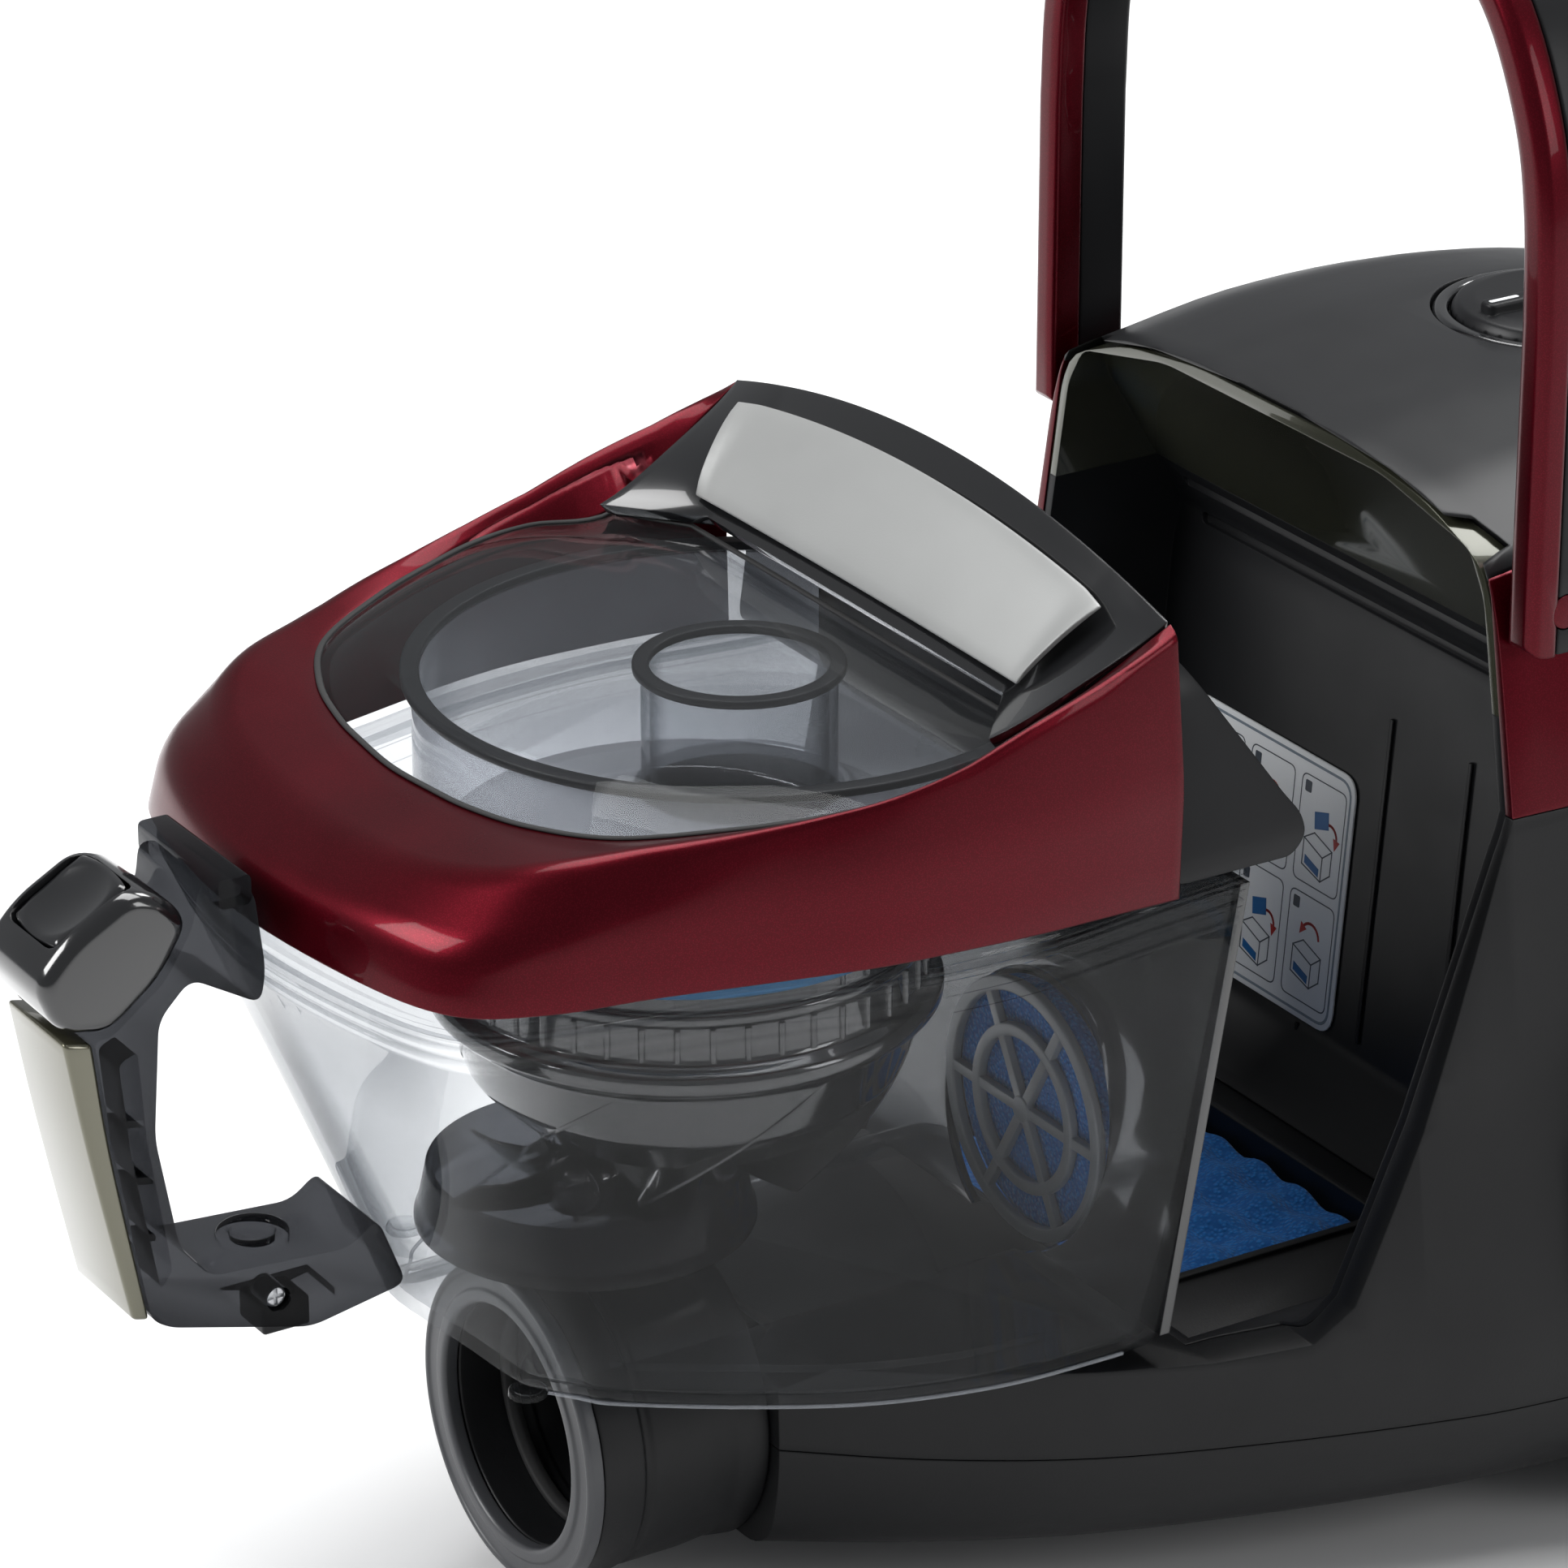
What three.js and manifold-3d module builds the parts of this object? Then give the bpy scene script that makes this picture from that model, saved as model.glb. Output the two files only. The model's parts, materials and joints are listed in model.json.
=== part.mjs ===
// Canister vacuum cleaner with a pull-out dust bin, in millimetres, +Z up.
// The hose inlet faces -Y, the rear is +Y and X = 0 is the plane of symmetry.
// The bin is drawn pulled forward out of its dock, with the carry handle upright.
import * as THREE from "three";
import { mergeVertices } from "three/addons/utils/BufferGeometryUtils.js";
import Module from "manifold-3d";

const wasm = await Module();
wasm.setup();

// ---------------------------------------------------------------- dimensions
const GAP = 0.3; // clearance between touching pieces
const ORIGIN_SHIFT_Y = 64.5; // moves the middle of the whole length to Y = 0

const WALL = 3; // moulded body shells
const SEAM_Z = 44; // parting line between the base and the body shell
const TRIM_Z = 187; // lower edge of the coloured side trims
const RIM_Y = 11.5; // front rim of the dock
const BODY_FRONT_Y = -150;
const BODY_REAR_Y = 188;
const FLOOR_CLEARANCE = 14;

const CAVITY_HALF = 93.5;
const CAVITY_FLOOR = 62;
const LINER = 2.5;

const WHEEL_Y = 105;
const WHEEL_R = 75;
const WHEEL_OUT = 134;
const WHEEL_IN = 101;
const WELL_IN = 96;
const CASTER_Y = -84;
const CASTER_TRAIL = 7;
const CASTER_R = 11;

const INLET_Z = 45;
const INLET_R = 29.4;
const COLLAR_R = 39;
const COLLAR_FRONT_Y = -199;

const MOTOR_Z = 84;
const REEL_Z = 180;
const REEL_Y = 122;
const KNOB_Y = 96;
const REWIND = { x: 45, y: 140, r: 11 };

const HANDLE_PIVOT = { y: 23, z: 236 };
const CARRY_IN = 92.5;
const CARRY_OUT = 101;
const CARRY_FRONT_Y = 12;
const CARRY_SPLIT_Y = 20.4;
const CARRY_REAR_Y = 34;

const RING_Y = -134.6; // axis of the cyclone inside the bin
const DRUM = { x: -4.4, y: -147 };
const BIN_FLOOR = 70;
const BIN_TOP = 184;
const GRILLE = { x: 24, z: 104, r: 33 };
const TURBINE = { x: -8, y: -172, z: 96 };
const GRIP_HALF = 14; // half the width of the bin handle

// ---------------------------------------------------------------- solids
function solid(geometry) {
  geometry.deleteAttribute("normal");
  geometry.deleteAttribute("uv");
  const merged = mergeVertices(geometry, 1e-4);
  return new wasm.Manifold(
    new wasm.Mesh({
      numProp: 3,
      vertProperties: new Float32Array(merged.attributes.position.array),
      triVerts: new Uint32Array(merged.index.array),
    }),
  );
}

function join(...solids) {
  return solids.reduce((a, b) => a.add(b));
}

function cut(first, ...others) {
  return others.reduce((a, b) => a.subtract(b), first);
}

// The outline's corners are rounded by the given radius.
function rounded(points, radius, steps = 3) {
  const out = [];
  points.forEach(([x, y], i) => {
    const [px, py] = points[(i + points.length - 1) % points.length];
    const [nx, ny] = points[(i + 1) % points.length];
    const before = Math.hypot(px - x, py - y);
    const after = Math.hypot(nx - x, ny - y);
    const r = Math.min(radius, before / 2.2, after / 2.2);
    const from = [x + ((px - x) * r) / before, y + ((py - y) * r) / before];
    const to = [x + ((nx - x) * r) / after, y + ((ny - y) * r) / after];
    for (let k = 0; k <= steps; k += 1) {
      const t = k / steps;
      const a = (1 - t) * (1 - t);
      const b = 2 * t * (1 - t);
      out.push([
        a * from[0] + b * x + t * t * to[0],
        a * from[1] + b * y + t * t * to[1],
      ]);
    }
  });
  return out;
}

// A prism of a closed outline: along x the outline is [y, z], along y it is
// [x, z] and along z it is [x, y].
function prism(axis, outline, low, high) {
  const shape = new THREE.Shape(outline.map(([a, b]) => new THREE.Vector2(a, b)));
  const geometry = new THREE.ExtrudeGeometry(shape, {
    depth: high - low,
    bevelEnabled: false,
  });
  const m = new THREE.Matrix4();
  if (axis === "x") m.set(0, 0, 1, low, 1, 0, 0, 0, 0, 1, 0, 0, 0, 0, 0, 1);
  if (axis === "y") m.set(1, 0, 0, 0, 0, 0, -1, high, 0, 1, 0, 0, 0, 0, 0, 1);
  if (axis === "z") m.set(1, 0, 0, 0, 0, 1, 0, 0, 0, 0, 1, low, 0, 0, 0, 1);
  return solid(geometry.applyMatrix4(m));
}

function box(x0, x1, y0, y1, z0, z1) {
  const geometry = new THREE.BoxGeometry(x1 - x0, y1 - y0, z1 - z0);
  geometry.translate((x0 + x1) / 2, (y0 + y1) / 2, (z0 + z1) / 2);
  return solid(geometry);
}

// Turns a profile of [radius, height] pairs about a line through `at`.
function turned(axis, profile, at, segments = 24) {
  const points = profile.map(([r, h]) => new THREE.Vector2(r, h));
  const geometry = new THREE.LatheGeometry(points, segments);
  if (axis === "z") geometry.rotateX(Math.PI / 2);
  if (axis === "x") geometry.rotateZ(-Math.PI / 2);
  geometry.translate(...at);
  return solid(geometry);
}

function rod(axis, r, low, high, a, b, segments = 24) {
  const at = { x: [0, a, b], y: [a, 0, b], z: [a, b, 0] }[axis];
  const profile = [[0, low], [r, low], [r, high], [0, high]];
  return turned(axis, profile, at, segments);
}

function tube(axis, r, inner, low, high, a, b, segments = 24) {
  const at = { x: [0, a, b], y: [a, 0, b], z: [a, b, 0] }[axis];
  const profile = [[inner, low], [r, low], [r, high], [inner, high], [inner, low]];
  return turned(axis, profile, at, segments);
}

// A closed skin through rings of equally many points, with flat ends.
function loft(rings) {
  const count = rings[0].length;
  const positions = rings.flat(2);
  const index = [];
  for (let i = 0; i + 1 < rings.length; i += 1) {
    for (let k = 0; k < count; k += 1) {
      const next = (k + 1) % count;
      const a = i * count + k;
      const b = i * count + next;
      const c = a + count;
      const d = b + count;
      index.push(a, b, d, a, d, c);
    }
  }
  capRing(index, rings[0], 0, true);
  capRing(index, rings[rings.length - 1], (rings.length - 1) * count, false);
  const geometry = new THREE.BufferGeometry();
  geometry.setAttribute(
    "position",
    new THREE.BufferAttribute(new Float32Array(positions), 3),
  );
  geometry.setIndex(index);
  const made = solid(geometry);
  if (made.volume() > 0) return made;
  for (let i = 0; i < index.length; i += 3) {
    [index[i + 1], index[i + 2]] = [index[i + 2], index[i + 1]];
  }
  geometry.setIndex(index);
  return solid(geometry);
}

function capRing(index, ring, start, flip) {
  const normal = new THREE.Vector3();
  ring.forEach((p, i) => {
    const q = ring[(i + 1) % ring.length];
    normal.x += (p[1] - q[1]) * (p[2] + q[2]);
    normal.y += (p[2] - q[2]) * (p[0] + q[0]);
    normal.z += (p[0] - q[0]) * (p[1] + q[1]);
  });
  normal.normalize();
  const side = new THREE.Vector3(0, 0, 1);
  if (Math.abs(normal.z) > 0.7) side.set(1, 0, 0);
  const u = new THREE.Vector3().crossVectors(side, normal).normalize();
  const v = new THREE.Vector3().crossVectors(normal, u);
  const flat = ring.map((p) => {
    const point = new THREE.Vector3(...p);
    return new THREE.Vector2(point.dot(u), point.dot(v));
  });
  for (const [a, b, c] of THREE.ShapeUtils.triangulateShape(flat, [])) {
    if (flip) index.push(start + a, start + c, start + b);
    else index.push(start + a, start + b, start + c);
  }
}

const mirrored = (points) => points.map(([x, ...rest]) => [-x, ...rest]).reverse();
const mix = (a, b, t) => a.map((value, i) => value + (b[i] - value) * t);

// ---------------------------------------------------------------- scene graph
const vacuum = new THREE.Group();
vacuum.name = "canister_vacuum";
vacuum.position.y = ORIGIN_SHIFT_Y;

const FINISH = {
  shell: [0x17181a, 0.55, 0],
  gloss: [0x08090a, 0.12, 0],
  red: [0x5c0814, 0.16, 0.35],
  clear: [0xc9d0d6, 0.06, 0],
  smoke: [0x2c2f33, 0.12, 0],
  silver: [0xb8babb, 0.3, 0.7],
  rubber: [0x0d0d0e, 0.85, 0],
  foam: [0x0a55a0, 0.95, 0],
  felt: [0xd8d8d4, 0.95, 0],
  metal: [0x9a9da1, 0.32, 1],
  board: [0x14502c, 0.55, 0],
  label: [0xe6e8ea, 0.5, 0],
  grey: [0x53565a, 0.5, 0],
};

function node(name, body, finish) {
  const raw = body.getMesh();
  const geometry = new THREE.BufferGeometry();
  const positions = new Float32Array(raw.numVert * 3);
  for (let i = 0; i < raw.numVert; i += 1) {
    const start = i * raw.numProp;
    positions.set(raw.vertProperties.subarray(start, start + 3), i * 3);
  }
  geometry.setAttribute("position", new THREE.BufferAttribute(positions, 3));
  geometry.setIndex(new THREE.BufferAttribute(raw.triVerts, 1));
  geometry.computeVertexNormals();
  const [color, roughness, metalness] = FINISH[finish];
  const material = new THREE.MeshStandardMaterial({ color, roughness, metalness });
  const mesh = new THREE.Mesh(geometry, material);
  mesh.name = name;
  vacuum.add(mesh);
}

// ---------------------------------------------------------------- body form
// y, half widths at the seam, at the trim's lower edge and at the top, and the
// height of the crown.
const STATIONS = [
  [-150, 42, 38, 34, 262],
  [-123, 64, 56, 50, 262],
  [-90, 84, 74, 68, 262],
  [-50, 100, 90, 82, 262],
  [-15, 111, 97, 87.5, 260],
  [11.5, 117, 99, 88, 259],
  [55, 121, 100.5, 88.5, 265],
  [100, 121, 100.5, 88.5, 265],
  [143, 117, 98, 87, 258],
  [165, 110, 93, 83, 245],
  [180, 100, 84, 75, 224],
  [188, 90, 74, 66, 200],
];

function bodyRing([y, seam, trim, top, crown], inset, dy) {
  const lift = (z) => SEAM_Z + ((z - SEAM_Z) * (crown - SEAM_Z)) / (262 - SEAM_Z);
  const floor = FLOOR_CLEARANCE + inset;
  const side = [
    [0.72 * seam, floor],
    [0.9 * seam, floor + 5],
    [0.98 * seam, floor + 17],
    [seam, SEAM_Z],
    [seam - 1, lift(62)],
    [(seam * 2 + trim * 3) / 5, lift(120)],
    [trim, lift(TRIM_Z)],
    [top + 2.5, lift(232)],
    [top - 3, lift(248)],
    [0.7 * top, lift(257)],
    [0.35 * top, lift(261)],
  ].map(([x, z]) => [x - inset, z > SEAM_Z + 30 ? z - inset : z]);
  const right = side.map(([x, z]) => [x, y + dy, z]);
  return [...right, ...mirrored(right)];
}

function bodyForm(inset) {
  const last = STATIONS.length - 1;
  return loft(
    STATIONS.map((station, i) => {
      const ends = (i === 0 ? inset : 0) - (i === last ? inset : 0);
      return bodyRing(station, inset, ends);
    }),
  );
}

// Everything above the deck and in front of the dock's side edge.
function openFront(grow) {
  const outline = [
    [-400, 400],
    [RIM_Y + grow, 400],
    [RIM_Y + grow, TRIM_Z],
    [8 + grow, 178],
    [-14 + grow, 116],
    [-32 + grow, 76 - grow],
    [-42, 68 - grow],
    [-64, 66 - grow],
    [-140, 66 - grow],
    [-149, 60 - grow],
    [-400, 56 - grow],
  ];
  return prism("x", outline, -200, 200);
}

// The dock's rear wall leans back above its bend.
const WALL_BEND = 78;
const wallY = (z) => 42 + ((z - WALL_BEND) * 10) / 117;

// The clear space of the dock, grown outwards.
function cavity(grow) {
  const g = grow;
  const outline = [
    [-62 - g, 400],
    [-62 - g, CAVITY_FLOOR - g],
    [28 + g, CAVITY_FLOOR - g],
    [wallY(WALL_BEND) + g, WALL_BEND],
    [wallY(195) + g, 195 + 0.4 * g],
    [2 + g, 267.6 + 0.4 * g],
    [2 + g, 400],
  ];
  const half = [
    [78 + g, 20],
    [78 + g, 65.5],
    [CAVITY_HALF + g, 69.5],
    [CAVITY_HALF + g, 184],
    [84 + g, 236 + g],
    [78 + g, 246 + g],
    [45 + g, 253 + g],
    [0, 256 + g],
  ];
  const arch = [...half, ...mirrored(half.slice(0, -1))];
  return prism("x", outline, -200, 200).intersect(prism("y", arch, -80, 80));
}

function wheelWell(grow) {
  const right = rod("x", WHEEL_R + 4 + grow, WELL_IN - grow, 200, WHEEL_Y, WHEEL_R, 28);
  const left = rod("x", WHEEL_R + 4 + grow, -200, grow - WELL_IN, WHEEL_Y, WHEEL_R, 28);
  return join(right, left);
}

function casterWell(grow) {
  return rod("z", 23 + grow, -5, 29 + grow, 0, CASTER_Y, 24);
}

const outer = cut(
  bodyForm(0),
  openFront(0),
  cavity(LINER + GAP),
  wheelWell(0),
  casterWell(0),
);
const hollow = cut(
  bodyForm(WALL),
  openFront(WALL),
  wheelWell(WALL),
  casterWell(2),
);
const skin = cut(outer, hollow);

const TOP_HALF = 85.5;
const above = (z) => box(-200, 200, -200, 300, z, 400);
const below = (z) => box(-200, 200, -200, 300, -50, z);
const trimZone = (g) =>
  join(
    box(TOP_HALF - g, 200, RIM_Y - 5, 178 + g, TRIM_Z - g, 400),
    box(-200, g - TOP_HALF, RIM_Y - 5, 178 + g, TRIM_Z - g, 400),
  );
const topZone = (g) => box(-TOP_HALF - g, TOP_HALF + g, RIM_Y - 5, 178 + g, 236 - g, 400);

// ---------------------------------------------------------------- base
const INLET_HOLE = rod("y", 30.6, -160, -140, 0, INLET_Z, 24);
const REAR_VENT = box(-46, 46, 170, 200, 92, 146);
const GLAND_HOLE = rod("y", 9.3, 170, 200, 62, 78, 20);
const AXLE_HOLES = rod("x", 5.3, -130, 130, WHEEL_Y, WHEEL_R, 20);
const CASTER_HOLE = rod("z", 5.3, 20, 40, 0, CASTER_Y, 20);

const baseShell = cut(
  skin.intersect(below(SEAM_Z - GAP / 2)),
  INLET_HOLE,
  CASTER_HOLE,
);
node("base_shell", baseShell, "shell");

const bodyShell = cut(
  skin.intersect(above(SEAM_Z + GAP / 2)),
  trimZone(GAP),
  topZone(GAP),
  INLET_HOLE,
  REAR_VENT,
  GLAND_HOLE,
  AXLE_HOLES,
);
const largest = (s) => s.decompose().sort((a, b) => b.volume() - a.volume())[0];
node("body_shell", largest(bodyShell), "shell");

const handlePin = (g) => rod("x", 4 + g, -CARRY_OUT + 1, CARRY_OUT - 1, HANDLE_PIVOT.y, HANDLE_PIVOT.z, 16);
const trims = cut(skin.intersect(trimZone(0)), topZone(GAP));
for (const [name, side] of [["left", -1], ["right", 1]]) {
  const half = box(Math.min(0, side * 300), Math.max(0, side * 300), -300, 300, 0, 400);
  const boss = handlePin(0).intersect(box(-200, 200, 0, 50, 0, 400)).intersect(half);
  const clear = box(-88.4, 88.4, 0, 100, 0, 400);
  node("side_trim_" + name, join(largest(trims.intersect(half)), cut(boss, clear)), "red");
}

const KNOB_WELL = rod("z", 30.5, 255, 300, 0, KNOB_Y, 28);
const REWIND_HOLE = rod("z", REWIND.r + 0.6, 200, 300, REWIND.x, REWIND.y, 24);
const topPanel = cut(skin.intersect(topZone(0)), KNOB_WELL, REWIND_HOLE);
node("top_panel", largest(topPanel), "gloss");
const knobSeat = join(
  tube("z", 30, 26, 254, 264.6, 0, KNOB_Y, 28),
  tube("z", 29.5, 7, 254, 257.5, 0, KNOB_Y, 28),
);
node("knob_bezel", knobSeat, "gloss");

// ---------------------------------------------------------------- dock
const liner = cut(
  cavity(LINER).intersect(bodyForm(1.5)),
  cavity(0),
  openFront(0.3),
  box(-200, 200, -200, 200, 0, CAVITY_FLOOR + GAP),
);
const GROOVE_SINK = 1.2;
const grooveCut = join(
  ...[204, 193].map((z) => {
    const y = 52 - (z - 195) * 0.69;
    return box(-82, 82, y - 3, Math.min(52, y) + GROOVE_SINK, z - 1.5, z + 1.5);
  }),
);
node("dock_liner", largest(cut(liner, grooveCut)), "gloss");

const TRAY_HALF = 48;
const trayOuter = box(-TRAY_HALF - 2.5, TRAY_HALF + 2.5, -61, 18.5, 47, CAVITY_FLOOR);
const trayInner = box(-TRAY_HALF, TRAY_HALF, -58.5, 16, 49.5, CAVITY_FLOOR + 5);
const floorPlate = box(-CAVITY_HALF - 2, CAVITY_HALF + 2, -62, 28, CAVITY_FLOOR - 2.5, CAVITY_FLOOR);
const floorArea = cavity(LINER - 0.3).intersect(bodyForm(4));
node(
  "dock_floor",
  largest(cut(join(floorPlate.intersect(floorArea), trayOuter), trayInner)),
  "shell",
);
node("felt_filter", box(-46, 46, -56.5, 14, 50, 52.5), "felt");
const foamWave = [];
for (let i = 0; i <= 14; i += 1) {
  foamWave.push([-56.5 + i * 5.03, i % 2 === 0 ? 60.5 : 57.5]);
}
const foamOutline = [[-56.5, 52.9], [13.92, 52.9], ...foamWave.reverse()];
node("foam_filter", prism("x", foamOutline, -46, 46), "foam");

const LABEL = { x0: -77, x1: -8, z0: 81, z1: 149, thick: 0.6, lift: 0.2 };
const labelBack = (z) => wallY(z) - LABEL.lift;
const labelSlab = prism("x", [
  [labelBack(80) - LABEL.thick, 80],
  [labelBack(80), 80],
  [labelBack(160), 160],
  [labelBack(160) - LABEL.thick, 160],
], -80, 0);
const labelCorners = [
  [LABEL.x0, LABEL.z0],
  [LABEL.x1, LABEL.z0],
  [LABEL.x1, LABEL.z1],
  [LABEL.x0, LABEL.z1],
];
const labelShape = prism("y", rounded(labelCorners, 5), 0, 80);
node("dock_label", labelSlab.intersect(labelShape), "label");

// ---------------------------------------------------------------- inlet
const collarRing = turned("y", [
  [INLET_R, COLLAR_FRONT_Y],
  [COLLAR_R - 1, COLLAR_FRONT_Y],
  [COLLAR_R, COLLAR_FRONT_Y + 1],
  [COLLAR_R, COLLAR_FRONT_Y + 4],
  [INLET_R, COLLAR_FRONT_Y + 4],
  [INLET_R, COLLAR_FRONT_Y],
], [0, 0, INLET_Z], 32);
node("inlet_ring", collarRing, "grey");
const neck = turned("y", [
  [INLET_R, COLLAR_FRONT_Y + 4.3],
  [COLLAR_R - 0.4, COLLAR_FRONT_Y + 4.3],
  [COLLAR_R - 1, -176],
  [38, -162],
  [38.5, BODY_FRONT_Y - GAP],
  [INLET_R, BODY_FRONT_Y - GAP],
  [INLET_R, COLLAR_FRONT_Y + 4.3],
], [0, 0, INLET_Z], 32);
const neckFloor = box(-60, 60, -220, -140, 5, 100);
node("inlet_neck", neck.intersect(neckFloor), "shell");
node("inlet_seal", tube("y", INLET_R - 0.3, INLET_R - 2.3, -184, -180, 0, INLET_Z, 24), "rubber");
const ellipse = (y, z, rx, rz, n = 20) =>
  Array.from({ length: n }, (_, i) => {
    const a = (i / n) * Math.PI * 2;
    return [rx * Math.cos(a), y, z + rz * Math.sin(a)];
  });
const ductPath = (t) => [
  ellipse(-149.5, INLET_Z, 30 - t, 15.5 - t + 1),
  ellipse(-148, 46, 30 - t, 14 - t),
  ellipse(-110, 46, 28 - t, 14 - t),
  ellipse(-66, 46, 28 - t, 14 - t),
];
const duct = cut(loft(ductPath(0)), loft([
  ellipse(-152, INLET_Z, 28, 14.5),
  ...ductPath(2).slice(1, 3),
  ellipse(-60, 46, 26, 12),
]));
node("inlet_duct", duct.intersect(box(-100, 100, -149.4, -64, 0, 100)), "shell");

// ---------------------------------------------------------------- machinery
const housing = turned("y", [
  [22, 60],
  [56, 60],
  [56, 150],
  [53, 150],
  [53, 63],
  [22, 63],
  [22, 60],
], [0, 0, MOTOR_Z], 24);
node("motor_housing", housing, "shell");
node("motor_seal", tube("y", 52.6, 43.6, 100, 106, 0, MOTOR_Z, 24), "rubber");
const motorCan = join(
  rod("y", 43, 84, 140, 0, MOTOR_Z, 24),
  rod("y", 14, 139, 148, 0, MOTOR_Z, 20),
  rod("y", 4, 66, 85, 0, MOTOR_Z, 16),
);
node("motor", motorCan, "metal");
const BLADES = 9;
const impellerBlades = Array.from({ length: BLADES }, (_, i) => {
  const blade = box(12, 47, 72, 79, -0.8, 0.8);
  return blade.rotate([0, (i * 360) / BLADES, 0]).translate([0, 0, MOTOR_Z]);
});
const impeller = cut(
  join(rod("y", 48, 79, 81, 0, MOTOR_Z, 24), rod("y", 14, 70, 80, 0, MOTOR_Z, 20), ...impellerBlades),
  rod("y", 4.4, 60, 90, 0, MOTOR_Z, 16),
);
node("fan_impeller", impeller, "metal");
const reel = cut(
  join(
    rod("z", 52, REEL_Z - 18, REEL_Z - 15, 0, REEL_Y, 24),
    rod("z", 30, REEL_Z - 16, REEL_Z + 16, 0, REEL_Y, 24),
    rod("z", 52, REEL_Z + 15, REEL_Z + 18, 0, REEL_Y, 24),
  ),
  rod("z", 7.4, 0, 300, 0, REEL_Y, 16),
);
node("cord_reel", reel, "shell");
const reelPlate = join(
  box(-54, 54, 64, 172, 157, 159.5),
  rod("z", 7, 159, REEL_Z + 22, 0, REEL_Y, 16),
);
node("reel_bracket", reelPlate, "grey");
node("circuit_board", box(-34, 34, 66, 128, 226, 227.6), "board");
node("exhaust_filter", box(-50, 50, 172, 182, 88, 150), "felt");
const slats = [0, 1, 2, 3, 4, 5].map((i) => {
  const low = 95 + i * 8.6;
  return box(-42, 42, 180, 200, low, low + 5);
});
node(
  "exhaust_grille",
  cut(box(-45.6, 45.6, 184, 189.5, 92.4, 145.6), ...slats),
  "gloss",
);
node("cord_outlet", tube("y", 9, 4.5, 181, 190, 62, 78, 20), "rubber");

// ---------------------------------------------------------------- wheels
for (const [name, side] of [["left", -1], ["right", 1]]) {
  const at = (low, high) => (side > 0 ? [low, high] : [-high, -low]);
  const disc = (r, low, high, n = 28) => rod("x", r, ...at(low, high), WHEEL_Y, WHEEL_R, n);
  const hub = cut(
    join(disc(59.7, 106, 130), disc(44, 129, 132.5), disc(20, 132, WHEEL_OUT)),
    disc(5.4, 90, 126, 20),
    cut(disc(52, 100, 122), disc(14, 99, 123, 24)),
  );
  node("wheel_hub_" + name, hub, "shell");
  const tread = [
    [60, 104],
    [72, 104],
    [WHEEL_R, 108],
    [WHEEL_R, 126],
    [71, 130],
    [60, 130],
    [60, 104],
  ].map(([r, x]) => [r, side * x]);
  if (side < 0) tread.reverse();
  node("tyre_" + name, turned("x", tread, [0, WHEEL_Y, WHEEL_R], 36), "rubber");
  node("axle_" + name, disc(5, 80, 125, 20), "metal");
}

const FORK_TOP = 26.4;
const casterAxle = (g, half) =>
  rod("x", 2.5 + g, -half, half, CASTER_Y + CASTER_TRAIL, CASTER_R, 16);
const wheelSlot = box(-6.5, 6.5, CASTER_Y - 30, CASTER_Y + 30, -5, 24);
const forkBody = cut(
  join(
    rod("z", 20, 18, FORK_TOP, 0, CASTER_Y, 24),
    rod("z", 5, 20, 31.2, 0, CASTER_Y, 20),
    box(-10.5, 10.5, CASTER_Y + CASTER_TRAIL - 6, CASTER_Y + CASTER_TRAIL + 6, 6, 20),
  ),
  wheelSlot,
);
const fork = join(forkBody, casterAxle(0, 8));
node("caster_fork", fork, "grey");
const casterTyre = rod("x", CASTER_R, -5.8, 5.8, CASTER_Y + CASTER_TRAIL, CASTER_R, 24);
node("caster_wheel", cut(casterTyre, casterAxle(0.4, 10)), "rubber");

// ---------------------------------------------------------------- controls
const knobProfile = [[0, 258], [25.4, 258], [25.4, 265], [23.5, 267.5], [0, 268.2]];
const knob = join(
  turned("z", knobProfile, [0, KNOB_Y, 0], 28),
  rod("z", 6.6, 244, 259, 0, KNOB_Y, 20),
  box(-2.2, 2.2, KNOB_Y - 22, KNOB_Y + 22, 266, 270),
);
node("power_knob", knob, "gloss");
const rewindButton = join(
  rod("z", REWIND.r, 246, 260, REWIND.x, REWIND.y, 24),
  rod("z", 5, 236, 247, REWIND.x, REWIND.y, 16),
);
node("rewind_button", rewindButton, "gloss");

// ---------------------------------------------------------------- carry handle
function carryOutline(inset, foot) {
  const right = [
    [CARRY_OUT - inset, foot],
    [CARRY_OUT - inset, 318],
    [96 - inset, 350],
    [80 - inset * 0.7, 379 - inset],
    [50, 396 - inset],
    [0, 402 - inset],
  ];
  return [...right, ...mirrored(right.slice(0, -1))];
}

function carryBow(y0, y1, outerInset, innerInset) {
  const bow = cut(
    prism("y", carryOutline(outerInset, 226), y0, y1),
    prism("y", carryOutline(innerInset, 200), y0 - 1, y1 + 1),
  );
  const ends = [[y0 - 1, 226], [y1 + 1, 226], [y1 + 1, 420], [y0 - 1, 420]];
  return cut(bow.intersect(prism("x", rounded(ends, 6), -120, 120)), handlePin(0.4));
}
const ARM = CARRY_OUT - CARRY_IN;
node("carry_handle_shell", carryBow(CARRY_FRONT_Y, CARRY_SPLIT_Y, 0, ARM + 0.5), "red");
node("carry_handle_grip", carryBow(CARRY_SPLIT_Y + GAP, CARRY_REAR_Y, 0.8, ARM), "shell");

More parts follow.
